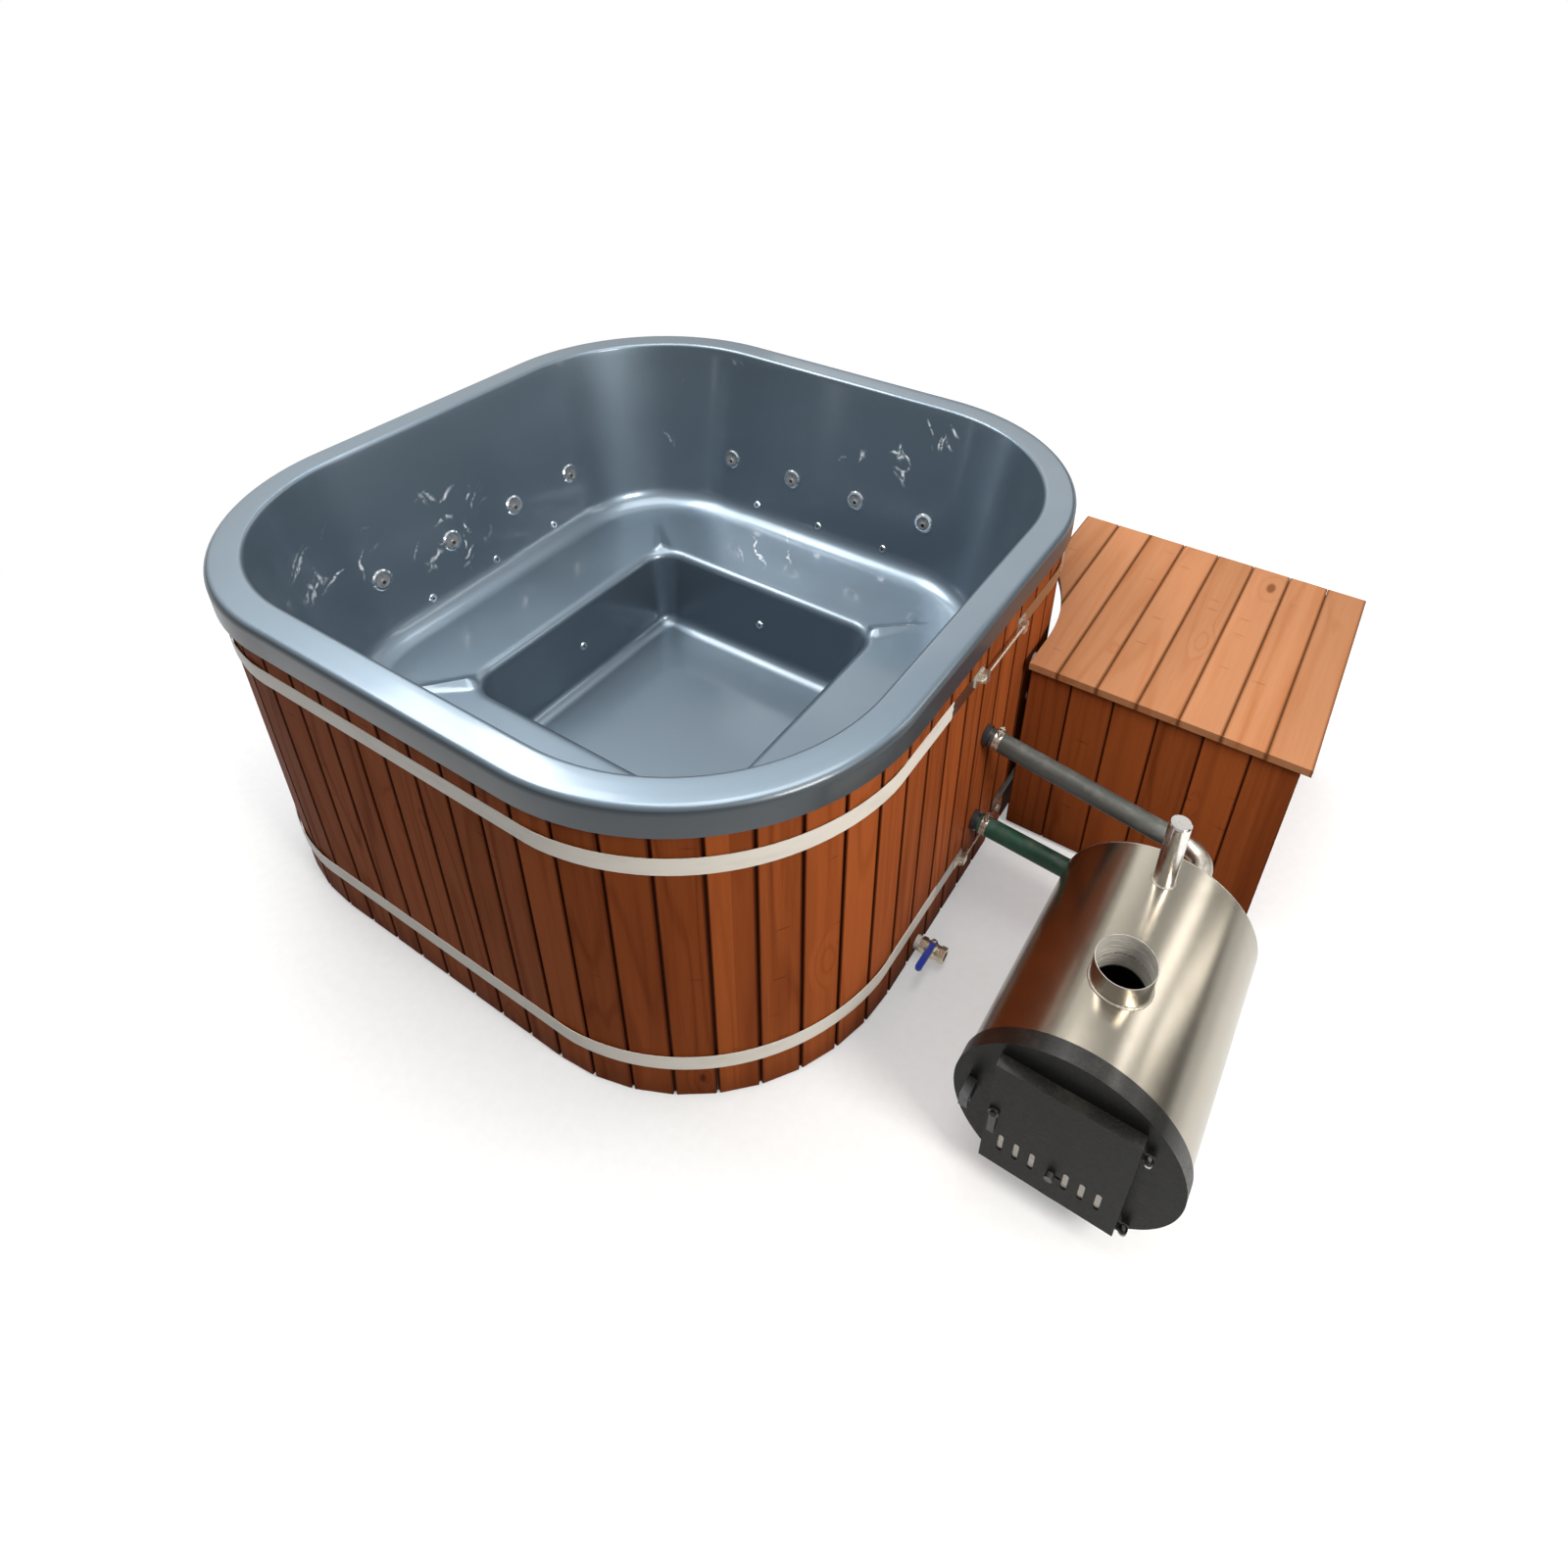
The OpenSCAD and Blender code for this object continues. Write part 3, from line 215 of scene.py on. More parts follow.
class Graph:
    """A small front for a node tree: add nodes with their inputs in one call."""

    def __init__(self, tree):
        self.tree = tree

    def add(self, kind, props=None, **inputs):
        """A node with its settings and inputs; an underscore in an input's name is a space."""
        node = self.tree.nodes.new(kind)
        for key, value in (props or {}).items():
            setattr(node, key, value)
        for key, value in inputs.items():
            self.put(node, key.replace("_", " "), value)
        return node

    def put(self, node, key, value):
        """Link an input, named or numbered, to a socket, or set its plain value."""
        socket = node.inputs[int(key) if key.isdigit() else key]
        if isinstance(value, bpy.types.NodeSocket):
            self.tree.links.new(value, socket)
        elif hasattr(socket, "default_value"):
            if socket.type == "RGBA" and len(value) == 3:
                value = (*value, 1.0)
            socket.default_value = value

    def math(self, op, a, b=0.0):
        """One sum of two numbers."""
        node = self.add("ShaderNodeMath", {"operation": op})
        self.put(node, "0", a)
        self.put(node, "1", b)
        return node.outputs[0]

    def ramp(self, value, low, high):
        """0 at low, 1 at high, eased."""
        node = self.add("ShaderNodeMapRange", {"interpolation_type": "SMOOTHSTEP"})
        self.put(node, "Value", value)
        self.put(node, "From Min", low)
        self.put(node, "From Max", high)
        return node.outputs["Result"]

    def span(self, value, low, high, out_low, out_high):
        """Maps low to high onto out_low to out_high, in a straight line."""
        node = self.add("ShaderNodeMapRange")
        for key, v in (("Value", value), ("From Min", low), ("From Max", high),
                       ("To Min", out_low), ("To Max", out_high)):
            self.put(node, key, v)
        return node.outputs["Result"]

    def mix(self, factor, a, b):
        """Colour a where factor is 0, colour b where it is 1."""
        node = self.add("ShaderNodeMix", {"data_type": "RGBA"})
        self.put(node, "0", factor)
        self.put(node, "6", a)
        self.put(node, "7", b)
        return node.outputs[2]

    def noise(self, vector, scale, detail=2.0, rough=0.5, distortion=0.0):
        """Cloudy noise, about 0 to 1."""
        node = self.add("ShaderNodeTexNoise", Vector=vector, Scale=scale, Detail=detail,
                        Roughness=rough, Distortion=distortion)
        return node.outputs["Fac"]

    def cells(self, vector, dimensions="3D"):
        """Cells of one unit: the distance to each one's point, and a random colour for each."""
        props = {"voronoi_dimensions": dimensions, "feature": "F1"}
        return self.add("ShaderNodeTexVoronoi", props, Vector=vector, Scale=1.0,
                        Randomness=1.0).outputs

    def inverse(self, value):
        """1 where the value is 0, and 0 where it is 1."""
        return self.math("SUBTRACT", 1.0, value)

    def joint(self, part, low, high):
        """1 at both ends of a board's width, fading to 0 from low to high."""
        return self.inverse(self.ramp(self.math("MINIMUM", part, self.inverse(part)), low, high))

    def radius(self, x, y, centre=(0.0, 0.0)):
        """Distance in plan from a centre."""
        squares = [self.math("POWER", self.math("SUBTRACT", part, middle), 2.0)
                   for part, middle in zip((x, y), centre)]
        return self.math("SQRT", self.math("ADD", *squares))

    def rays(self):
        """Whether the camera looks here, and whether a mirroring or clear surface does."""
        rays = self.add("ShaderNodeLightPath").outputs
        mirrored = self.math("MAXIMUM", rays["Is Glossy Ray"], rays["Is Transmission Ray"])
        return rays["Is Camera Ray"], mirrored

    def up(self):
        """How far the surface faces up."""
        return self.split(self.add("ShaderNodeNewGeometry").outputs["Normal"])[2]

    def scaled(self, vector, size, offset=(0.0, 0.0, 0.0)):
        """The vector times size, axis by axis, plus offset."""
        node = self.add("ShaderNodeVectorMath", {"operation": "MULTIPLY_ADD"})
        self.put(node, "0", vector)
        self.put(node, "1", size)
        self.put(node, "2", offset)
        return node.outputs[0]

    def split(self, vector):
        """The vector's three parts."""
        return self.add("ShaderNodeSeparateXYZ", Vector=vector).outputs

    def object_point(self):
        """Where the shaded point lies on its object, in metres."""
        return self.add("ShaderNodeTexCoord").outputs["Object"]

    def bump(self, height, strength, distance):
        """The normal of a surface that height raises by up to distance."""
        return self.add("ShaderNodeBump", Height=height, Strength=strength,
                        Distance=distance).outputs["Normal"]

    def group(self, name, **inputs):
        """The outputs of a shared effect."""
        node = self.add("ShaderNodeGroup", {"node_tree": bpy.data.node_groups[name]})
        for key, value in inputs.items():
            self.put(node, key.replace("_", " "), value)
        return node.outputs


def new_group(name, inputs, outputs):
    """A shared effect: its graph, its input sockets and its output node."""
    tree = bpy.data.node_groups.new(name, "ShaderNodeTree")
    for label, kind, default in inputs:
        socket = tree.interface.new_socket(name=label, in_out="INPUT",
                                           socket_type="NodeSocket" + kind)
        if default is not None:
            socket.default_value = default
    for label, kind in outputs:
        tree.interface.new_socket(name=label, in_out="OUTPUT", socket_type="NodeSocket" + kind)
    graph = Graph(tree)
    return graph, graph.add("NodeGroupInput").outputs, graph.add("NodeGroupOutput")


def build_groups():
    """The effects that several finishes share."""
    # number of the board that a point lies on, turned into a steady random value
    g, i, o = new_group("Board Number", [("Along", "Float", 0.0), ("Start", "Float", 0.0),
                                         ("Pitch", "Float", 0.1), ("Seed", "Float", 0.0),
                                         ("Groove", "Float", 0.05)],
                        [("Random", "Float"), ("Second", "Float"), ("Joint", "Float")])
    along = g.math("DIVIDE", g.math("SUBTRACT", i["Along"], i["Start"]), i["Pitch"])
    step = g.math("FLOOR", along)
    part = g.math("FRACT", along)
    # mask of the shade painted beside each joint
    g.put(o, "Joint", g.joint(part, 0.012, i["Groove"]))
    number = g.math("ADD", step, i["Seed"])
    white = g.add("ShaderNodeTexWhiteNoise", {"noise_dimensions": "1D"}, W=number)
    other = g.add("ShaderNodeTexWhiteNoise", {"noise_dimensions": "1D"},
                  W=g.math("ADD", number, 31.7))
    g.put(o, "Random", white.outputs["Value"])
    g.put(o, "Second", other.outputs["Value"])

    # which stave of the jacket a point lies on, counted round the plan
    g, i, o = new_group("Stave Number", [("Vector", "Vector", None), ("Corner", "Float", CORNER)],
                        [("Number", "Float"), ("Joint", "Float")])
    x, y, _z = g.split(i["Vector"])
    ax, ay = g.math("ABSOLUTE", x), g.math("ABSOLUTE", y)
    dx, dy = g.math("SUBTRACT", ax, i["Corner"]), g.math("SUBTRACT", ay, i["Corner"])
    corner = g.math("MULTIPLY", g.math("GREATER_THAN", dx, 0.0), g.math("GREATER_THAN", dy, 0.0))
    turn = g.math("DIVIDE", g.math("ARCTAN2", dy, dx), STAVE_TURN)
    side_x = g.math("GREATER_THAN", dx, dy)
    run = g.math("ADD", g.math("MULTIPLY", side_x, y),
                 g.math("MULTIPLY", g.inverse(side_x), x))
    flat = g.math("DIVIDE", g.math("ADD", run, CORNER), STAVE_WIDE)
    along = g.math("ADD", g.math("MULTIPLY", corner, turn),
                   g.math("MULTIPLY", g.inverse(corner), flat))
    # wide steps keep the numbers of the sides and the corners apart
    signs = g.math("ADD", g.math("MULTIPLY", g.math("SIGN", x), 37.0),
                   g.math("MULTIPLY", g.math("SIGN", y), 91.0))
    extra = g.math("ADD", g.math("MULTIPLY", corner, 400.0), g.math("MULTIPLY", side_x, 173.0))
    g.put(o, "Number", g.math("ADD", g.math("FLOOR", along), g.math("ADD", signs, extra)))
    part = g.math("FRACT", along)
    # mask of the shade painted beside each stave's joint
    g.put(o, "Joint", g.joint(part, 0.038, 0.092))

    # stained softwood, Z along the grain
    g, i, o = new_group("Softwood Grain", [("Vector", "Vector", None), ("Board", "Float", 0.0),
                                           ("Rings", "Float", 9.0), ("Knots", "Float", 1.0)],
                        [("Grain", "Float"), ("Knot", "Float"), ("Tone", "Float"),
                         ("Height", "Float")])
    shift = g.add("ShaderNodeCombineXYZ", X=g.math("MULTIPLY", i["Board"], 7.3),
                  Y=g.math("MULTIPLY", i["Board"], 3.1), Z=g.math("MULTIPLY", i["Board"], 19.0))
    base = g.scaled(i["Vector"], (1.0, 1.0, 1.0), shift.outputs[0])
    # knots: a few flat ellipses, with the grain swelling round them
    cells = g.cells(g.scaled(base, (5.2, 5.2, 2.3)))
    pick = g.split(cells["Color"])
    size = g.math("MULTIPLY", g.math("SUBTRACT", pick[0], 0.45), 0.17)
    near = g.math("SUBTRACT", size, cells["Distance"])
    knot = g.math("MULTIPLY", g.ramp(near, -0.012, 0.03), i["Knots"])
    swell = g.ramp(near, -0.22, 0.02)
    slow = g.noise(g.scaled(base, (6.0, 6.0, 0.55)), 1.0, 2.0, 0.45, 0.3)
    wave = g.math("ADD", g.math("MULTIPLY", slow, i["Rings"]), g.math("MULTIPLY", swell, 1.6))
    ring = g.math("PINGPONG", wave, 0.5)
    late = g.ramp(ring, 0.26, 0.5)
    fibre = g.noise(g.scaled(base, (260.0, 260.0, 7.0)), 1.0, 3.0, 0.65)
    streak = g.noise(g.scaled(base, (38.0, 38.0, 0.9)), 1.0, 2.0, 0.6)
    grain = g.math("ADD", g.math("MULTIPLY", late, 0.38),
                   g.math("ADD", g.math("MULTIPLY", g.ramp(fibre, 0.35, 0.75), 0.22),
                          g.math("MULTIPLY", g.ramp(streak, 0.4, 0.72), 0.30)))
    g.put(o, "Grain", g.math("MINIMUM", grain, 1.0))
    # pin marks: short dark dashes across the grain
    pins = g.cells(g.scaled(base, (10.0, 10.0, 70.0)))
    pin = g.math("MULTIPLY", g.inverse(g.ramp(pins["Distance"], 0.10, 0.24)),
                 g.math("GREATER_THAN", g.split(pins["Color"])[0], 0.88))
    g.put(o, "Knot", g.math("MAXIMUM", knot, g.math("MULTIPLY", pin, 0.5)))
    g.put(o, "Tone", g.noise(g.scaled(base, (2.2, 2.2, 0.7)), 1.0, 2.0, 0.5))
    g.put(o, "Height", g.math("SUBTRACT", g.math("MULTIPLY", fibre, 0.6),
                              g.math("MULTIPLY", late, 0.35)))

    # dust that settles on what faces up, which on the hoses is also painted top light, and a
    # darkening towards the bottom
    g, i, o = new_group("Dust and Damp", [("Vector", "Vector", None), ("Scale", "Float", 6.0),
                                          ("Ground", "Float", 0.12)],
                        [("Dust", "Float"), ("Damp", "Float")])
    cloud = g.noise(i["Vector"], i["Scale"], 5.0, 0.65)
    g.put(o, "Dust", g.math("MULTIPLY", g.ramp(g.up(), 0.2, 1.0), g.ramp(cloud, 0.42, 0.75)))
    height = g.split(i["Vector"])[2]
    edge = g.math("MULTIPLY", i["Ground"], g.math("ADD", cloud, 0.6))
    g.put(o, "Damp", g.inverse(g.ramp(g.math("DIVIDE", height, edge), 0.0, 1.0)))

    # fine parallel lines, set close along the axis with the largest Stretch
    g, i, o = new_group("Brushed Lines", [("Vector", "Vector", None),
                                          ("Stretch", "Vector", (1.0, 1.0, 1.0))],
                        [("Lines", "Float")])
    g.put(o, "Lines", g.noise(g.scaled(i["Vector"], i["Stretch"]), 1.0, 4.0, 0.7))

    # pebbled paint
    g, i, o = new_group("Hammered Paint", [("Vector", "Vector", None), ("Scale", "Float", 380.0)],
                        [("Height", "Float"), ("Glint", "Float")])
    cells = g.add("ShaderNodeTexVoronoi", {"feature": "SMOOTH_F1"}, Vector=i["Vector"],
                  Scale=i["Scale"], Smoothness=0.4)
    soft = g.noise(i["Vector"], 90.0, 2.0, 0.5)
    g.put(o, "Height", g.math("ADD", cells.outputs["Distance"], soft))
    g.put(o, "Glint", g.ramp(cells.outputs["Distance"], 0.45, 0.8))


def new_material(name, metallic=0.0, roughness=0.5, coat=0.0, coat_roughness=0.1, specular=0.5):
    """A material with its plain values set on the shader's own sockets."""
    material = bpy.data.materials.new(name)
    material.use_nodes = True
    graph = Graph(material.node_tree)
    shader = material.node_tree.nodes["Principled BSDF"]
    for key, value in (("Metallic", metallic), ("Roughness", roughness), ("Coat Weight", coat),
                       ("Coat Roughness", coat_roughness), ("IOR", 1.5),
                       ("Specular IOR Level", specular)):
        shader.inputs[key].default_value = value
    return material, graph, shader


def shade(tone, share):
    """The same colour, darker or lighter."""
    return [min(1.0, c * share) for c in tone]


def dress(node, material):
    """Give a CAD node, or a piece made here, one finish."""
    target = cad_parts[node] if isinstance(node, str) else node
    target.data.materials.clear()
    target.data.materials.append(material)


# Wood finishes

def swap_axes(g, vector, order):
    """The same point with its axes in another order, so that Z runs along the grain."""
    parts = g.split(vector)
    return g.add("ShaderNodeCombineXYZ", X=parts[order[0]], Y=parts[order[1]],
                 Z=parts[order[2]]).outputs[0]


def stained_wood(name, looks, light, dark, along, order=(0, 1, 2), rings=9.0, gloss=0.50,
                 coat=0.0, ground=True):
    """Stained softwood. along says which board a point lies on."""
    material, g, shader = new_material(name, roughness=gloss, coat=coat, coat_roughness=0.22,
                                       specular=0.02)
    point = g.object_point()
    random, second, joint = along(g, point)
    grain = g.group("Softwood Grain", Vector=swap_axes(g, point, order), Board=random,
                    Rings=rings, Knots=1.0)
    body = g.mix(grain["Grain"], light, dark)
    pale = shade(light, 1.35)
    deep = shade(light, 0.62)
    toned = g.mix(g.math("MULTIPLY", g.ramp(grain["Tone"], 0.35, 0.7), 0.35), body, deep)
    boards = g.mix(g.math("MULTIPLY", g.ramp(random, 0.45, 1.0), looks.board_change),
                   toned, pale)
    boards = g.mix(g.math("MULTIPLY", g.ramp(second, 0.5, 1.0), looks.board_change),
                   boards, dark)
    knots_and_shade = g.mix(g.math("MULTIPLY", grain["Knot"], 0.85), boards, shade(dark, 0.45))
    # painted shade: each board darkens beside its joints, wider than the groove, for the groove's
    # shade and some dirt in it
    knots_and_shade = g.mix(g.math("MULTIPLY", joint, 0.85), knots_and_shade, shade(dark, 0.45))
    top_and_low = g.group("Dust and Damp", Vector=point, Scale=7.0, Ground=0.10)
    if ground:
        # darker towards the bottom
        knots_and_shade = g.mix(g.math("MULTIPLY", top_and_low["Damp"], 0.45), knots_and_shade, shade(dark, 0.6))
    g.put(shader, "Base Color", knots_and_shade)
    rough = g.math("ADD", g.math("MULTIPLY", grain["Grain"], 0.14),
                   g.math("MULTIPLY", top_and_low["Dust"], 0.12))
    g.put(shader, "Roughness", g.math("ADD", rough, gloss))
    g.put(shader, "Normal", g.bump(grain["Height"], 0.35, 0.0006))
    return material


def along_staves(g, point):
    """The staves, counted round the tub."""
    stave = g.group("Stave Number", Vector=point, Corner=CORNER)
    out = g.group("Board Number", Along=stave["Number"], Start=-0.5, Pitch=1.0, Seed=3.0)
    return out["Random"], out["Second"], stave["Joint"]


def along_axis(axis, start, pitch, seed, groove, g, point):
    """Boards of one width side by side, counted from start."""
    out = g.group("Board Number", Along=g.split(point)[axis], Start=start, Pitch=pitch, Seed=seed,
                  Groove=groove)
    return out["Random"], out["Second"], out["Joint"]


def bare_wood(name, tone, order, rings=7.0):
    """Planed timber without stain."""
    material, g, shader = new_material(name, roughness=0.62)
    point = g.object_point()
    grain = g.group("Softwood Grain", Vector=swap_axes(g, point, order), Board=0.37,
                    Rings=rings, Knots=1.0)
    body = g.mix(g.math("MULTIPLY", grain["Grain"], 0.6), tone, shade(tone, 0.55))
    body = g.mix(grain["Knot"], body, shade(tone, 0.25))
    g.put(shader, "Base Color", body)
    g.put(shader, "Normal", g.bump(grain["Height"], 0.4, 0.0006))
    return material


# Metal, rubber, plastic and gelcoat finishes

def band_film(name, looks, y_low, y_high):
    """White film on the flat band, cut away between two points of the hose side."""
    material, g, shader = new_material(name)
    point = g.object_point()
    x, y, _z = g.split(point)
    ragged = g.math("MULTIPLY", g.math("SUBTRACT", g.noise(point, 60.0, 3.0), 0.5), 0.03)
    y_edge = g.math("ADD", y, ragged)
    bare = g.math("MULTIPLY", g.math("GREATER_THAN", x, 0.9),
                  g.math("MULTIPLY", g.math("GREATER_THAN", y_edge, y_low),
                         g.math("LESS_THAN", y_edge, y_high)))
    lines = g.group("Brushed Lines", Vector=point, Stretch=(3.0, 3.0, 900.0))
    steel = g.mix(g.ramp(lines["Lines"], 0.35, 0.7), shade(looks.stainless, 0.8),
                  shade(looks.stainless, 1.2))
    top_and_low = g.group("Dust and Damp", Vector=point, Scale=14.0, Ground=0.1)
    # darker and browner towards the bottom
    film = g.mix(g.math("MULTIPLY", top_and_low["Damp"], 0.3), looks.film, (0.35, 0.28, 0.2))
    film = g.mix(g.ramp(g.noise(g.scaled(point, (9.0, 9.0, 30.0)), 1.0, 4.0), 0.45, 0.8), film,
                 shade(looks.film, 0.86))
    g.put(shader, "Base Color", g.mix(bare, film, steel))
    g.put(shader, "Metallic", bare)
    g.put(shader, "Roughness", g.span(bare, 0.0, 1.0, 0.42, 0.28))
    wrinkle = g.noise(g.scaled(point, (25.0, 25.0, 60.0)), 1.0, 3.0)
    g.put(shader, "Normal", g.bump(g.math("MULTIPLY", wrinkle, g.inverse(bare)), 0.25, 0.002))
    return material


def brushed_steel(name, base, stretch, rough, line_depth=0.12, tint=0.25, hands=0.10,
                  grit=0.12):
    """Brushed sheet: tint is the lines' change of colour, hands the dull prints on it."""
    material, g, shader = new_material(name, metallic=1.0, roughness=rough)
    point = g.object_point()
    lines = g.group("Brushed Lines", Vector=point, Stretch=stretch)
    body = g.mix(g.ramp(lines["Lines"], 0.3, 0.72), shade(base, 1.0 - tint),
                 shade(base, 1.0 + tint))
    top_and_low = g.group("Dust and Damp", Vector=point, Scale=9.0, Ground=0.08)
    body = g.mix(g.math("MULTIPLY", top_and_low["Dust"], 0.12), body, (0.45, 0.43, 0.40))
    g.put(shader, "Base Color", body)
    prints = g.noise(point, 16.0, 3.0, 0.6)
    g.put(shader, "Roughness", g.math("ADD", g.math("MULTIPLY", g.ramp(prints, 0.45, 0.8), hands),
                                      g.span(lines["Lines"], 0.3, 0.7, rough, rough + grit)))
    if line_depth:
        g.put(shader, "Normal", g.bump(lines["Lines"], line_depth, 0.0004))
    return material


def polished(name, base, rough):
    """Plated or turned metal with faint spots."""
    material, g, shader = new_material(name, metallic=1.0, roughness=rough)
    point = g.object_point()
    spots = g.noise(point, 70.0, 4.0, 0.6)
    g.put(shader, "Base Color", g.mix(g.ramp(spots, 0.5, 0.75), base, shade(base, 0.8)))
    g.put(shader, "Roughness", g.span(spots, 0.3, 0.8, rough, rough + 0.16))
    g.put(shader, "Normal", g.bump(g.noise(point, 300.0, 2.0), 0.04, 0.0003))
    return material


def hammered(name, looks):
    """Hammered stove paint, with most gloss on what faces up."""
    rough = 0.36
    material, g, shader = new_material(name, roughness=rough, coat_roughness=0.22, specular=0.12)
    point = g.object_point()
    cells = g.group("Hammered Paint", Vector=point, Scale=300.0)
    top_and_low = g.group("Dust and Damp", Vector=point, Scale=12.0, Ground=0.05)
    body = g.mix(g.math("MULTIPLY", cells["Glint"], 0.25), looks.enamel,
                 shade(looks.enamel, 4.0))
    body = g.mix(g.math("MULTIPLY", top_and_low["Dust"], 0.08), body, (0.20, 0.18, 0.16))
    g.put(shader, "Base Color", body)
    g.put(shader, "Roughness", g.span(cells["Height"], 0.3, 1.4, rough - 0.08, rough + 0.12))
    g.put(shader, "Coat Weight", g.math("MULTIPLY", g.ramp(g.up(), 0.15, 0.75), 0.75))
    g.put(shader, "Normal", g.bump(cells["Height"], 0.45, 0.0005))
    return material


def matt(name, base, rough, scale=240.0, depth=0.25, fade=0.8, coat=0.0):
    """Rubber, moulded plastic, cast or burnt metal: a fine tooth and slow colour change."""
    material, g, shader = new_material(name, roughness=rough, coat=coat, coat_roughness=0.12)
    point = g.object_point()
    tooth = g.noise(point, scale, 3.0, 0.6)
    slow = g.noise(point, 11.0, 4.0, 0.6)
    top_and_low = g.group("Dust and Damp", Vector=point, Scale=8.0, Ground=0.05)
    body = g.mix(g.ramp(slow, 0.35, 0.75), base, shade(base, fade))
    body = g.mix(g.math("MULTIPLY", top_and_low["Dust"], 0.22), body, (0.30, 0.28, 0.26))
    g.put(shader, "Base Color", body)
    g.put(shader, "Roughness", g.span(tooth, 0.3, 0.7, rough - 0.07, rough + 0.07))
    g.put(shader, "Normal", g.bump(tooth, depth, 0.0004))
    return material


def gelcoat(name, looks):
    """Glossy gelcoat with fine metallic flake, soft ripples, smears of dry polish and painted
    shade on the down-turned edge.
    """
    material, g, shader = new_material(name, roughness=0.38, coat=0.8, coat_roughness=0.12)
    point = g.object_point()
    flake = g.noise(point, 1500.0, 1.0, 0.5)
    slow = g.noise(point, 2.6, 3.0, 0.5)
    base = tuple(looks.gelcoat)
    body = g.mix(g.ramp(slow, 0.3, 0.75), base, shade(base, 0.88))
    body = g.mix(g.math("MULTIPLY", g.ramp(flake, 0.5, 0.75), looks.flake), body,
                 shade(base, 1.8))
    # smears: short curved wipes at three slants, in patches on the walls
    warped = g.add("ShaderNodeTexNoise", Vector=point, Scale=9.0, Detail=2.0)
    x, y, z = g.split(g.scaled(warped.outputs["Color"], (0.10, 0.10, 0.10), point))
    level = g.math("ADD", x, y)
    strokes = 0.0
    for slant, seed in ((20, 0.0), (75, 3.7), (125, 8.1)):
        c, s = math.cos(math.radians(slant)), math.sin(math.radians(slant))
        run = g.math("ADD", g.math("MULTIPLY", level, c), g.math("MULTIPLY", z, s))
        rise = g.math("SUBTRACT", g.math("MULTIPLY", z, c), g.math("MULTIPLY", level, s))
        place = g.add("ShaderNodeCombineXYZ", X=g.math("ADD", g.math("MULTIPLY", run, 5.5), seed),
                      Y=g.math("MULTIPLY", rise, 27.0))
        cells = g.cells(place.outputs[0], "2D")
        wipe = g.inverse(g.ramp(cells["Distance"], 0.05, 0.22))
        chosen = g.math("GREATER_THAN", g.split(cells["Color"])[0], 0.60)
        strokes = g.math("MAXIMUM", strokes, g.math("MULTIPLY", wipe, chosen))
    patch = 0.0
    for centre, reach in SMEAR_PLACES:
        away = g.add("ShaderNodeVectorMath", {"operation": "DISTANCE"})
        g.put(away, "0", point)
        g.put(away, "1", centre)
        near = g.inverse(g.ramp(away.outputs["Value"], reach * 0.5, reach))
        patch = g.math("MAXIMUM", patch, near)
    worn = g.ramp(g.noise(point, 70.0, 3.0, 0.6), 0.36, 0.60)
    height = g.split(point)[2]
    wall = g.inverse(g.ramp(height, RIM_Z - 0.06, RIM_Z - 0.02))
    mark = g.math("MULTIPLY", g.math("MULTIPLY", strokes, worn),
                  g.math("MULTIPLY", wall, patch))
    mark = g.math("MULTIPLY", mark, looks.smears)
    # painted shade: the down-turned edge is darkened, and dull with less metal and less coat
    x, y, _z = g.split(point)
    beyond = [g.math("MAXIMUM", g.math("SUBTRACT", g.math("ABSOLUTE", part), CORNER), 0.0)
              for part in (x, y)]
    edge = g.ramp(g.radius(*beyond), RIM_R - 0.012, RIM_R - 0.002)
    body = g.mix(g.math("MULTIPLY", edge, 0.85), body, shade(base, 0.10))
    g.put(shader, "Base Color", g.mix(mark, body, (0.80, 0.83, 0.85)))
    g.put(shader, "Roughness", g.span(g.ramp(slow, 0.3, 0.7), 0.0, 1.0, 0.34, 0.44))
    g.put(shader, "Metallic", g.math("MULTIPLY", g.span(mark, 0.0, 1.0, 0.80, 0.0),
                                     g.span(edge, 0.0, 1.0, 1.0, 0.25)))
    g.put(shader, "Coat Weight", g.span(edge, 0.0, 1.0, 0.8, 0.2))
    ripple = g.noise(point, 5.0, 1.0, 0.4)
    g.put(shader, "Normal", g.bump(ripple, 0.10, 0.004))
    return material


# Meshes of hoses, beads and rings

def add_object(name, mesh, body="tub"):
    """A piece made here, riding on one body of the frame."""
    piece = bpy.data.objects.new(name, mesh)
    bpy.context.scene.collection.objects.link(piece)
    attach(piece, body)
    return piece


def mesh_of(name, vertices, faces, smooth_angle=40.0):
    """A smooth-shaded mesh, sharp where it turns by more than smooth_angle degrees."""
    mesh = bpy.data.meshes.new(name)
    mesh.from_pydata(vertices, [], faces)
    mesh.validate()
    mesh.update()
    mesh.shade_smooth()
    mesh.set_sharp_from_angle(angle=math.radians(smooth_angle))
    return mesh


def arc(cx, cz, r, start, end, steps):
    """Points on a round, ends included; angles in radians."""
    return [(cx + r * math.cos(start + (end - start) * k / steps),
             cz + r * math.sin(start + (end - start) * k / steps)) for k in range(steps + 1)]


def between(first, last, t):
    """The point at share t of the way from first to last."""
    return tuple(a + (b - a) * t for a, b in zip(first, last))


def circle_point(centre, x, y, angle, radius):
    """A point of a circle about centre, in the plane of x and y."""
    return Vector(centre) + (x * math.cos(angle) + y * math.sin(angle)) * radius


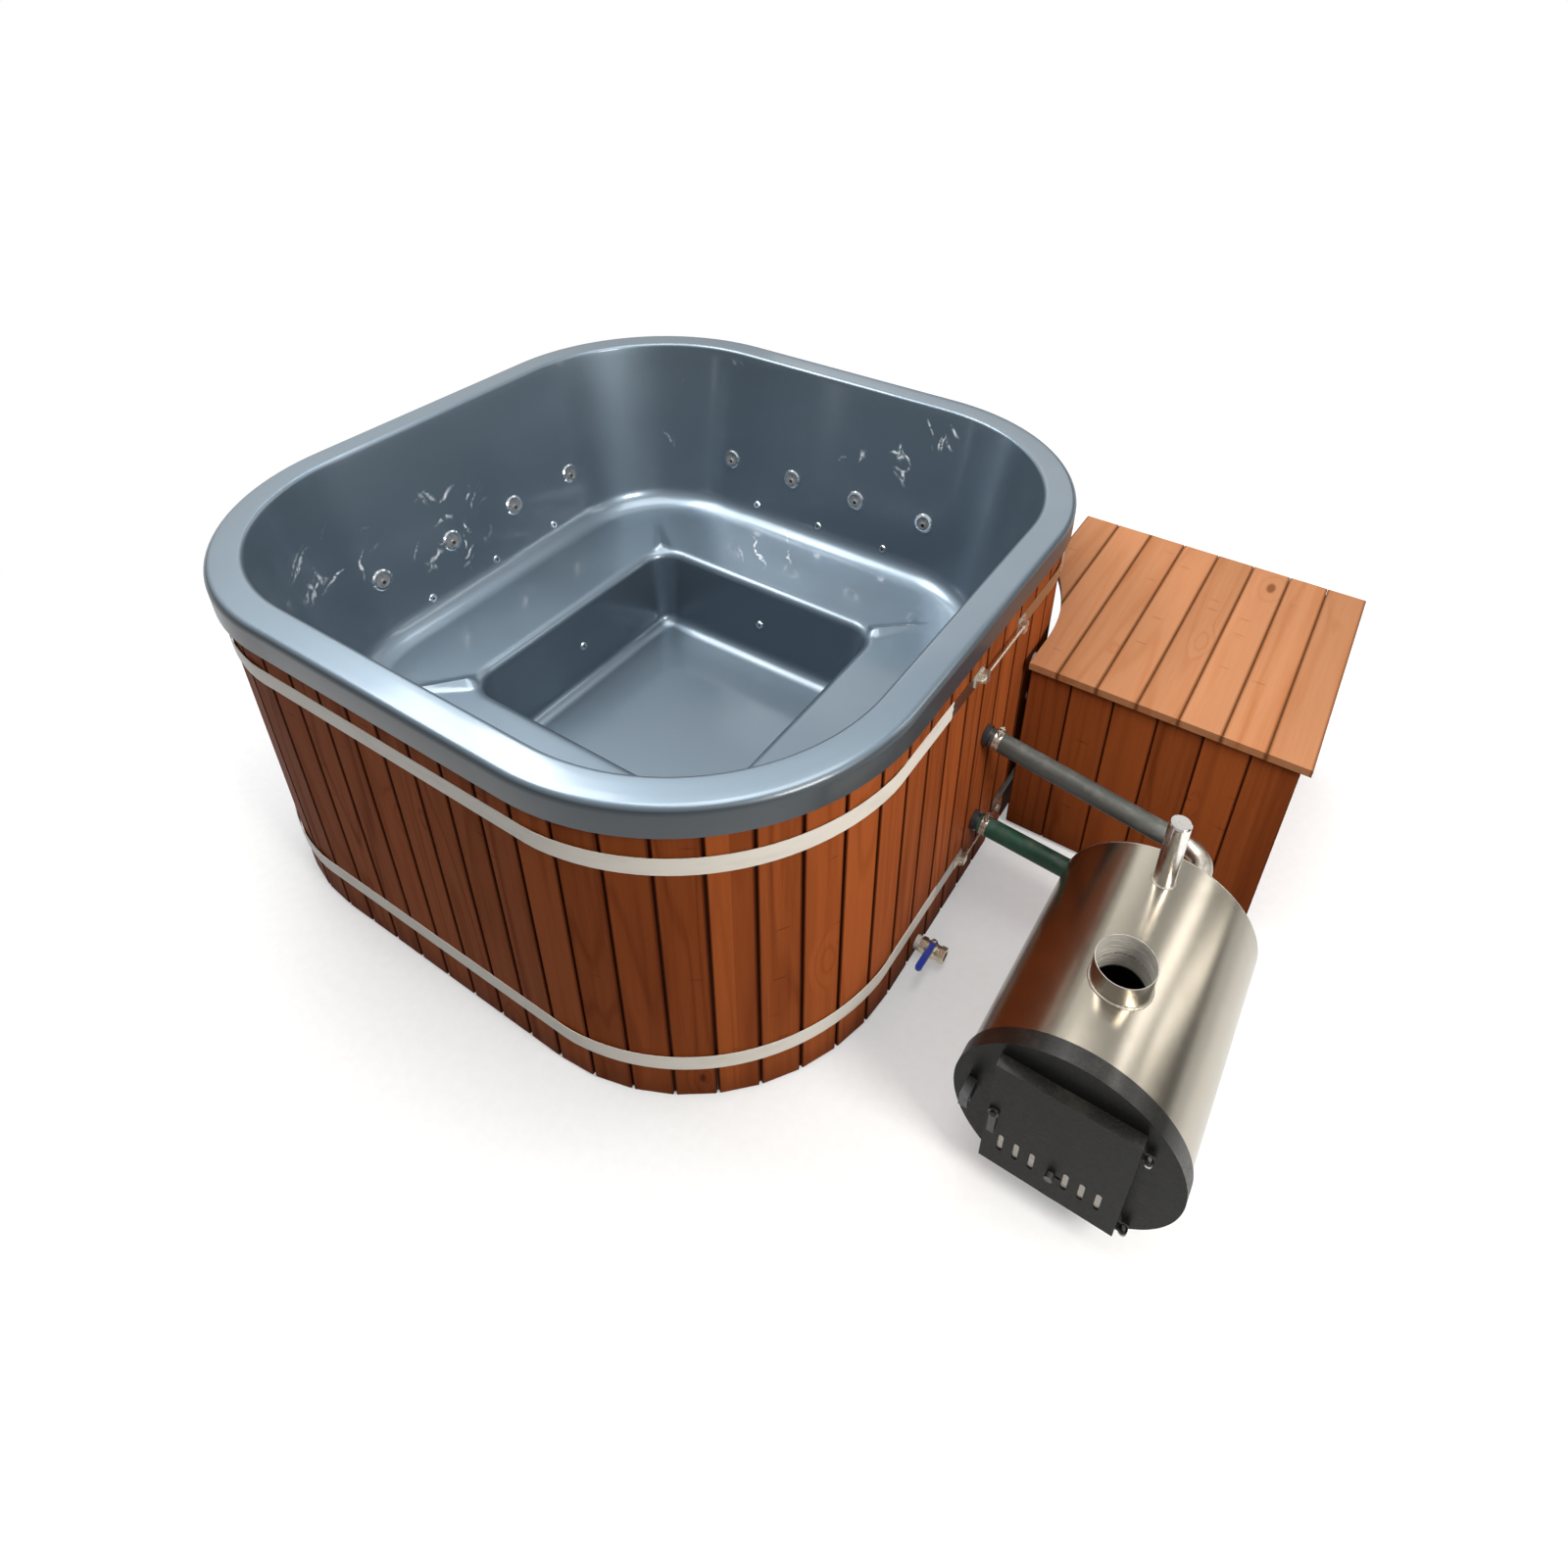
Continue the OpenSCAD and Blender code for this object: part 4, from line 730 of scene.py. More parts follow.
def plan_points(corner, radius, turns=28, straight=16):
    """One closed ring of the tub's plan, the same count for every ring."""
    ring = []
    for q, (sx, sy) in enumerate(QUARTERS):
        for k in range(turns + 1):
            a = math.radians(90 * q + 90 * k / turns)
            ring.append((sx * corner + radius * math.cos(a), sy * corner + radius * math.sin(a)))
        nx, ny = QUARTERS[(q + 1) % 4]
        a = math.radians(90 * (q + 1))
        first = ring[-1]
        last = (nx * corner + radius * math.cos(a), ny * corner + radius * math.sin(a))
        ring += [between(first, last, k / straight) for k in range(1, straight)]
    return ring


def tube_along(name, points, radius, bore, sides=32):
    """A hose wall round a straight or bent path, with open bore and closed ends."""
    vertices, faces = [], []
    count = len(points)
    for k, p in enumerate(points):
        ahead = Vector(points[min(k + 1, count - 1)]) - Vector(points[max(k - 1, 0)])
        z = ahead.normalized()
        x = z.cross(Vector((0, 1, 0))).normalized()
        y = z.cross(x)
        for r in (radius, bore):
            for s in range(sides):
                vertices.append(circle_point(p, x, y, math.tau * s / sides, r))
    ring = 2 * sides
    for k in range(count - 1):
        for s in range(sides):
            n = (s + 1) % sides
            a, b = k * ring, (k + 1) * ring
            faces.append((a + s, a + n, b + n, b + s))
            faces.append((a + sides + n, a + sides + s, b + sides + s, b + sides + n))
    for k, flip in ((0, False), (count - 1, True)):
        a = k * ring
        for s in range(sides):
            n = (s + 1) % sides
            face = (a + s, a + sides + s, a + sides + n, a + n)
            faces.append(tuple(reversed(face)) if flip else face)
    return mesh_of(name, vertices, faces)


def bead_along(name, points, radius, seed, sides=10):
    """A weld bead: a small rippled tube along a closed path of points and outward directions."""
    vertices, faces = [], []
    count = len(points)
    for k, (p, out) in enumerate(points):
        ahead = Vector(points[(k + 1) % count][0]) - Vector(points[k - 1][0])
        z = ahead.normalized()
        x = Vector(out).normalized()
        y = z.cross(x)
        swell = radius * (1.0 + 0.16 * math.sin(k * 2.1 + seed) + 0.07 * math.sin(k * 0.7))
        for s in range(sides):
            vertices.append(circle_point(p, x, y, math.tau * s / sides, swell))
    for k in range(count):
        a, b = k * sides, ((k + 1) % count) * sides
        for s in range(sides):
            n = (s + 1) % sides
            faces.append((a + s, a + n, b + n, b + s))
    return mesh_of(name, vertices, faces, 60.0)


# Liner

def leaning_wall(top, foot, rows):
    """The straight rows of a wall, without its two ends."""
    return [between(top, foot, k / rows) for k in range(1, rows)]


def liner_section():
    """(corner offset, radius, height) down the liner's face, from the skirt to the floor."""
    lean, drop = math.sin(TILT), math.cos(TILT)
    wall = ((RIM_Z - LIP_ROUND + LIP_ROUND * lean)
            - (BENCH_Z + BENCH_COVE - BENCH_COVE * lean)) / drop
    seat = LIP_R - LIP_ROUND * drop - wall * lean - BENCH_COVE * drop
    upper = [(RIM_R, RIM_Z - SKIRT_FOOT), (RIM_R, RIM_Z - SKIRT_TOP)]
    upper += arc(RIM_R - RIM_ROUND, RIM_Z - RIM_ROUND, RIM_ROUND, 0, math.pi / 2, 12)
    upper += [(r, RIM_Z) for r in RIM_FLAT]
    upper += arc(LIP_R, RIM_Z - LIP_ROUND, LIP_ROUND, math.pi / 2, math.pi - TILT, 9)
    foot = arc(seat, BENCH_Z + BENCH_COVE, BENCH_COVE, -TILT, -math.pi / 2, 14)
    upper += leaning_wall(upper[-1], foot[0], 26) + foot
    rings = [(CORNER, r, z) for r, z in upper]
    steps = 22
    for k in range(1, steps):
        rings.append((*between((CORNER, seat), (WELL_CORNER, WELL_TURN), k / steps), BENCH_Z))
    lean, drop = math.sin(WELL_TILT), math.cos(WELL_TILT)
    low_wall = ((BENCH_Z - WELL_EDGE + WELL_EDGE * lean)
                - (FLOOR_Z + FLOOR_COVE - FLOOR_COVE * lean)) / drop
    floor_r = max(0.006, WELL_TURN - WELL_EDGE * drop - low_wall * lean - FLOOR_COVE * drop)
    lower = arc(WELL_TURN, BENCH_Z - WELL_EDGE, WELL_EDGE, math.pi / 2, math.pi - WELL_TILT, 8)
    foot = arc(floor_r, FLOOR_Z + FLOOR_COVE, FLOOR_COVE, -WELL_TILT, -math.pi / 2, 10)
    lower += leaning_wall(lower[-1], foot[0], 9) + foot
    rings += [(WELL_CORNER, r, z) for r, z in lower]
    # the floor closes in on its middle
    rings += [(WELL_CORNER * t, floor_r * t, FLOOR_Z) for t in (0.8, 0.55, 0.3, 0.1)]
    return rings


def ridge_lift(x, y, z, height):
    """Height of the fading ridge that runs out across the bench from each footwell corner."""
    if abs(z - BENCH_Z) > 0.012:
        return 0.0
    along = (abs(x) + abs(y)) / math.sqrt(2)
    across = abs(abs(x) - abs(y)) / math.sqrt(2)
    start = WELL_CORNER * math.sqrt(2) + WELL_TURN + RIDGE_GAP
    t = (along - start) / RIDGE_REACH
    if t < -RIDGE_LEAD or t > 1.0:
        return 0.0
    fade = max(t, 0.0)
    width = RIDGE_WIDE * (1.0 - 0.8 * fade)
    flank = max(0.0, 1.0 - across / width)
    rise = min(1.0, (t + RIDGE_LEAD) / RIDGE_RISE)
    return height * flank * rise * (1.0 - fade) ** 0.8


def cutter(centre, direction, radius, depth=0.03, sides=48):
    """A closed cylinder used to cut one hole."""
    z = Vector(direction).normalized()
    x = z.orthogonal().normalized()
    y = z.cross(x)
    vertices = [circle_point(Vector(centre) + z * side, x, y, math.tau * s / sides, radius)
                for side in (-depth, depth) for s in range(sides)]
    faces = [tuple(reversed(range(sides))), tuple(range(sides, 2 * sides))]
    for s in range(sides):
        n = (s + 1) % sides
        faces.append((s, n, sides + n, sides + s))
    return vertices, faces


def wall_reach(z):
    """Distance of the upper wall from the middle of the tub, at height z."""
    top_r = LIP_R - LIP_ROUND * math.cos(TILT)
    top_z = RIM_Z - LIP_ROUND + LIP_ROUND * math.sin(TILT)
    return CORNER + top_r - (top_z - z) * math.tan(TILT)


def well_reach(z):
    """Distance of the frame's footwell wall from the middle of the tub, at height z."""
    cove = WELL_FOOT_COVE
    foot_r = WELL_FOOT_R + cove * math.cos(WELL_TILT)
    foot_z = FLOOR_Z + cove - cove * math.sin(WELL_TILT)
    return WELL_CORNER + foot_r + (z - foot_z) * math.tan(WELL_TILT)


def liner_holes():
    """Centre, direction and radius of each hole in the liner."""
    fittings = [(wall_reach(JET_Z), JET_Z, (k % 4 - 1.5) * JET_GAP, k // 4, TILT, JET_HOLE)
                for k in range(8)]
    fittings += [(wall_reach(AIR_Z), AIR_Z, (k % 3 - 1) * JET_GAP, k // 3, TILT, AIR_HOLE)
                 for k in range(6)]
    fittings += [(well_reach(WELL_NOZZLE_Z), WELL_NOZZLE_Z, 0.0, k, WELL_TILT, AIR_HOLE)
                 for k in range(2)]
    holes = []
    for reach, z, shift, wall, tilt, radius in fittings:
        if wall == 0:
            holes.append(((-reach, shift, z), (math.cos(tilt), 0, math.sin(tilt)), radius))
        else:
            holes.append(((shift, reach, z), (0, -math.cos(tilt), math.sin(tilt)), radius))
    holes.append(((wall_reach(PORT_HIGH), HOSE_Y, PORT_HIGH), (1, 0, 0), PORT_HOLE))
    holes.append(((well_reach(PORT_LOW), HOSE_Y, PORT_LOW), (1, 0, 0), PORT_HOLE))
    holes.append((DRAIN_AT, (0, 0, 1), DRAIN_HOLE))
    return holes


class TUB_OT_liner(bpy.types.Operator):
    """Moulded liner: rim, leaning walls, bench with ridges, footwell, and its fitting holes"""
    bl_idname = "tub.liner"
    bl_label = "Liner"

    def execute(self, context):
        looks = context.scene.tub_liner
        rings = liner_section()
        vertices, faces = [], []
        for corner, radius, z in rings:
            for x, y in plan_points(corner, radius):
                vertices.append((x, y, z + ridge_lift(x, y, z, looks.ridge_height)))
        count = len(vertices) // len(rings)
        for k in range(len(rings) - 1):
            for s in range(count):
                n = (s + 1) % count
                a, b = k * count, (k + 1) * count
                faces.append((a + s, a + n, b + n, b + s))
        faces.append(tuple(range((len(rings) - 1) * count, len(rings) * count)))
        liner = add_object("moulded_liner", mesh_of("moulded_liner", vertices, faces, 50.0))
        thick = liner.modifiers.new("Shell", "SOLIDIFY")
        thick.thickness, thick.offset, thick.use_even_offset = SHELL, -1.0, True
        vertices, faces = [], []
        for hole in liner_holes():
            more, sides = cutter(*hole)
            faces += [tuple(i + len(vertices) for i in side) for side in sides]
            vertices += more
        knife = add_object("hole_cutter", mesh_of("hole_cutter", vertices, faces))
        cut = liner.modifiers.new("Holes", "BOOLEAN")
        cut.operation, cut.solver, cut.object = "DIFFERENCE", "EXACT", knife
        depsgraph = context.evaluated_depsgraph_get()
        result = bpy.data.meshes.new_from_object(liner.evaluated_get(depsgraph))
        liner.modifiers.clear()
        liner.data = result
        result.name = "moulded_liner"
        bpy.data.objects.remove(knife)
        result.shade_smooth()
        result.set_sharp_from_angle(angle=math.radians(45))
        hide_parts("tub_liner")
        dress(liner, gelcoat("Blue-grey gelcoat", looks))
        dress("tub_liner", gelcoat("Blue-grey gelcoat, frame", looks))
        return {"FINISHED"}


# Timber and bands

class TUB_OT_timber(bpy.types.Operator):
    """Stained staves, box boards and lid, and the bare timber under the liner"""
    bl_idname = "tub.timber"
    bl_label = "Timber"

    def execute(self, context):
        looks = context.scene.tub_timber
        light, dark = tuple(looks.stave_light), tuple(looks.stave_dark)
        staves = stained_wood("Stained stave", looks, light, dark, along_staves, rings=8.0)
        for node in ("staves_straight", "staves_drilled", "staves_corner"):
            dress(node, staves)
        for side, boards in (("front", BOX_FRONT), ("side", BOX_SIDE), ("back", BOX_BACK)):
            dress(f"box_{side}_boards", stained_wood(f"Stained box {side}", looks, light, dark,
                                                     partial(along_axis, *boards), rings=7.0))
        lid = stained_wood("Stained lid", looks, tuple(looks.lid_light), tuple(looks.lid_dark),
                           partial(along_axis, *BOX_LID), order=(0, 2, 1), rings=6.0,
                           gloss=0.42, coat=0.04, ground=False)
        dress("lid_boards", lid)
        bare = tuple(looks.frame_wood)
        upright = bare_wood("Bare upright timber", bare, (0, 1, 2))
        level = bare_wood("Bare level timber", bare, (1, 2, 0))
        sheet = bare_wood("Birch panel", shade(bare, 1.15), (2, 1, 0), 4.2)
        for node in ("frame_posts", "box_frame", "lid_battens"):
            dress(node, upright)
        for node in ("floor_bearers", "ring_frames"):
            dress(node, level)
        dress("base_panel", sheet)
        return {"FINISHED"}


class TUB_OT_bands(bpy.types.Operator):
    """Steel bands with their white film, the lugs and the tension bolts"""
    bl_idname = "tub.bands"
    bl_label = "Bands"

    def execute(self, context):
        looks = context.scene.tub_metal
        for name, node, z, ends, bare in BANDS:
            strip = add_object(name, self.strip(name, z, *ends, looks.band_width,
                                                looks.band_thickness))
            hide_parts(node)
            finish = band_film(name.replace("_", " ").capitalize(), looks, *bare)
            dress(strip, finish)
            dress(node, finish)
        steel = tuple(looks.stainless)
        dress("band_lugs",
              brushed_steel("Lug steel", shade(steel, 1.5), (40.0, 40.0, 500.0), 0.30))
        dress("band_bolts", polished("Bolt zinc", (0.82, 0.80, 0.72), 0.22))
        return {"FINISHED"}

    @staticmethod
    def strip(name, z, low, high, width, thickness, turns=30):
        """A flat band bent round the staves, open on the hose side between low and high."""
        path = [(FACE, high)]
        for q, (sx, sy) in enumerate(QUARTERS):
            for k in range(turns + 1):
                a = math.radians(90 * q + 90 * k / turns)
                # round the corner the strip rides clear of the staves' edges
                ease = min(1.0, min(k, turns - k) * 90 / turns / 6.0)
                r = STAVE_R + BAND_CLEAR * ease
                path.append((sx * CORNER + r * math.cos(a), sy * CORNER + r * math.sin(a)))
        path.append((FACE, low))
        vertices, faces = [], []
        for k, (x, y) in enumerate(path):
            before, after = Vector(path[max(k - 1, 0)]), Vector(path[min(k + 1, len(path) - 1)])
            way = (after - before).normalized()
            out = Vector((way.y, -way.x)) * thickness
            for dx, dy, dz in ((0, 0, -1), (out.x, out.y, -1), (out.x, out.y, 1), (0, 0, 1)):
                vertices.append((x + dx, y + dy, z + dz * width / 2))
        for k in range(len(path) - 1):
            for c in range(4):
                n = (c + 1) % 4
                faces.append((4 * k + c, 4 * k + 4 + c, 4 * k + 4 + n, 4 * k + n))
        faces.append((3, 2, 1, 0))
        end = 4 * (len(path) - 1)
        faces.append((end, end + 1, end + 2, end + 3))
        return mesh_of(name, vertices, faces)


# Jets, hoses and drain

class TUB_OT_jets(bpy.types.Operator):
    """Chromed jet housings, spinning inserts, air nozzles and the hidden pipe runs"""
    bl_idname = "tub.jets"
    bl_label = "Jets"

    def execute(self, context):
        chrome = polished("Fitting chrome", (0.80, 0.82, 0.84), 0.07)
        dress("jet_bodies", chrome)
        dress("air_nozzles", chrome)
        insert = matt("Insert grey", (0.16, 0.17, 0.18), rough=0.25, coat=0.6, depth=0.1)
        for k in range(1, 9):
            dress(f"jet_nozzle_{k}", insert)
        pipe = matt("Pipe white", (0.72, 0.72, 0.69), rough=0.4, depth=0.1, fade=0.93)
        for node in ("jet_water_pipe", "jet_air_pipe", "drain_pipe"):
            dress(node, pipe)
        return {"FINISHED"}


class TUB_OT_hoses(bpy.types.Operator):
    """Rubber hoses, their clamps and the ports"""
    bl_idname = "tub.hoses"
    bl_label = "Hoses"

    def execute(self, context):
        looks = context.scene.tub_metal
        steps = 20
        for name, node, slot, port_z, spigot_z, tone in HOSES:
            start, stop = Vector((PORT_X, HOSE_Y, port_z)), Vector((SPIGOT_X, HOSE_Y, spigot_z))
            way = (stop - start).normalized()
            first, last = start + way * HOSE_INSET, stop - way * HOSE_INSET
            length = (last - first).length
            points = [first + way * length * k / steps for k in range(steps + 1)]
            hose = add_object(name, tube_along(name, points, HOSE_R, HOSE_BORE))
            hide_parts(node)
            rubber = self.rubber(name, tuple(getattr(looks, tone)))
            dress(hose, rubber)
            dress(node, rubber)
        steel = tuple(looks.stainless)
        dress("hose_clamps",
              brushed_steel("Clamp steel", shade(steel, 1.2), (700.0, 40.0, 40.0), 0.2))
        dress("port_fittings", matt("Port plastic", (0.025, 0.027, 0.03), rough=0.35, depth=0.15))
        dress("water_spigots", brushed_steel("Spigot steel", steel, (60.0, 60.0, 600.0), 0.28))
        return {"FINISHED"}

    @staticmethod
    def rubber(name, tone):
        """Extruded rubber: fine lines along the hose, scuffs, and a paler top that is partly dust
        and partly painted light.
        """
        material, g, shader = new_material(name, roughness=0.5)
        point = g.object_point()
        lines = g.noise(g.scaled(point, (4.0, 260.0, 260.0)), 1.0, 2.0, 0.6)
        cloud = g.noise(g.scaled(point, (7.0, 16.0, 16.0)), 1.0, 4.0, 0.65)
        top_and_low = g.group("Dust and Damp", Vector=point, Scale=18.0, Ground=0.05)
        pale = [min(1.0, c * 1.9 + 0.012) for c in tone]
        body = g.mix(g.ramp(cloud, 0.42, 0.78), tone, pale)
        # painted light: the pale mix on what faces up stands for the hose's lit top as well as for
        # dust
        body = g.mix(g.math("MULTIPLY", top_and_low["Dust"], 0.45), body, (0.17, 0.175, 0.165))
        g.put(shader, "Base Color", body)
        g.put(shader, "Roughness", g.span(cloud, 0.3, 0.8, 0.38, 0.62))
        g.put(shader, "Normal", g.bump(lines, 0.2, 0.0006))
        return material


class TUB_OT_drain(bpy.types.Operator):
    """Drain fitting and ball valve with its blue lever"""
    bl_idname = "tub.drain"
    bl_label = "Drain"

    def execute(self, context):
        dress("valve_body", polished("Nickelled brass", (0.66, 0.60, 0.46), 0.22))
        dress("valve_ball", polished("Ball chrome", (0.78, 0.79, 0.80), 0.08))
        dress("valve_lever", matt("Blue dip", (0.010, 0.050, 0.45), rough=0.3, coat=0.4))
        dress("valve_lever_nut", polished("Lever nut zinc", (0.55, 0.55, 0.55), 0.28))
        dress("drain_fitting", polished("Drain steel", (0.6, 0.6, 0.6), 0.2))
        return {"FINISHED"}


# Stove and technical box

class TUB_OT_stove(bpy.types.Operator):
    """Stove: brushed jacket, painted front and door, flue collar, weld beads and firebox"""
    bl_idname = "tub.stove"
    bl_label = "Stove"

    def execute(self, context):
        looks = context.scene.tub_metal
        steel = tuple(looks.stainless)
        # painted shade: a warmer and darker copy of the stainless, for the darker surroundings the
        # jacket mirrors
        shaded_warm_steel = [c * share for c, share in zip(steel, (0.74, 0.72, 0.68))]
        dress("stove_shell", brushed_steel("Jacket stainless", shaded_warm_steel, (3.0, 700.0, 3.0), 0.24,
                                           line_depth=0.0, tint=0.0, hands=0.03, grit=0.0))
        dress("stove_back_plate",
              brushed_steel("Back stainless", shade(steel, 0.85), (300.0, 12.0, 12.0), 0.34))
        dress("flue_collar", self.collar_finish(steel))
        dress("vent_stub", polished("Vent tube", (0.72, 0.70, 0.67), 0.12))
        paint = hammered("Hammered black", looks)
        for node in ("stove_front_plate", "stove_door", "stove_feet"):
            dress(node, paint)
        dress("door_latch", matt("Latch black", (0.010, 0.010, 0.011), rough=0.45, coat=0.1))
        dress("door_hinge_brackets", polished("Hinge steel", (0.36, 0.36, 0.37), 0.3))
        dress("latch_catch", polished("Catch steel", (0.085, 0.088, 0.090), 0.38))
        # painted shade: a darker copy of the stainless, for the dark surroundings the slide
        # mirrors
        dress("air_slide",
              brushed_steel("Slide stainless", shade(steel, 0.62), (30.0, 30.0, 400.0), 0.32))
        dress("air_slide_knob", matt("Knob black", (0.015, 0.015, 0.016), rough=0.35, coat=0.3))
        dress("firebox", matt("Heat-dark steel", (0.060, 0.048, 0.042), rough=0.7, scale=60.0,
                              depth=0.5, fade=0.5))
        dress("grate", matt("Cast grate", (0.030, 0.028, 0.027), rough=0.75, scale=120.0,
                            depth=0.6))
        bead = brushed_steel("Weld bead", shade(steel, 0.8), (200.0, 200.0, 200.0), 0.35)
        for name, y, tube, thick in WELDS:
            piece = add_object(name, self.saddle(name, y, tube, thick))
            dress(piece, bead)
        return {"FINISHED"}

    @staticmethod
    def collar_finish(steel):
        """Bright outside; paler and dull inside, which is painted light for the light the inside
        catches.
        """
        material, g, shader = new_material("Collar stainless", metallic=1.0, roughness=0.2)
        point = g.object_point()
        x, y, _z = g.split(point)
        inside = g.math("LESS_THAN", g.radius(x, y, (STOVE_X, FLUE_Y)), FLUE_BORE)
        lines = g.group("Brushed Lines", Vector=point, Stretch=(20.0, 20.0, 500.0))["Lines"]
        body = g.mix(g.ramp(lines, 0.3, 0.72), shade(steel, 0.88), shade(steel, 1.12))
        # painted light: the inside is paler and duller than the rest of the collar
        painted_light_inside = g.mix(g.ramp(lines, 0.35, 0.7), (0.30, 0.285, 0.26), (0.62, 0.60, 0.56))
        g.put(shader, "Base Color", g.mix(inside, body, painted_light_inside))
        g.put(shader, "Metallic", g.span(inside, 0.0, 1.0, 1.0, 0.15))
        g.put(shader, "Roughness", g.span(inside, 0.0, 1.0, 0.2, 0.5))
        g.put(shader, "Normal", g.bump(lines, 0.08, 0.0004))
        return material

    @staticmethod
    def saddle(name, y, tube, thick, steps=120):
        """Weld where an upright tube meets the round jacket."""
        reach = tube + WELD_CLEAR
        points = []
        for k in range(steps):
            a = math.tau * k / steps
            x = reach * math.cos(a)
            z = math.sqrt(SHELL_R ** 2 - x * x)
            outward = (math.cos(a) * 0.8, math.sin(a) * 0.8, 0.9)
            points.append(((STOVE_X + x, y + reach * math.sin(a), STOVE_Z + z), outward))
        return bead_along(name, points, thick, seed=tube)


class TUB_OT_box(bpy.types.Operator):
    """Hinges of the lid, and the pump and blower inside the box"""
    bl_idname = "tub.box"
    bl_label = "Technical box"

    def execute(self, context):
        steel = tuple(context.scene.tub_metal.stainless)
        hinge = brushed_steel("Hinge plate", steel, (500.0, 40.0, 40.0), 0.3)
        dress("lid_hinge_leaves", hinge)
        dress("lid_hinge_flaps", hinge)
        motor = matt("Motor casing", (0.030, 0.033, 0.036), rough=0.42, depth=0.3)
        dress("massage_pump", motor)
        dress("air_blower", matt("Blower casing", (0.040, 0.044, 0.050), rough=0.38, depth=0.2))
        return {"FINISHED"}


# Stage

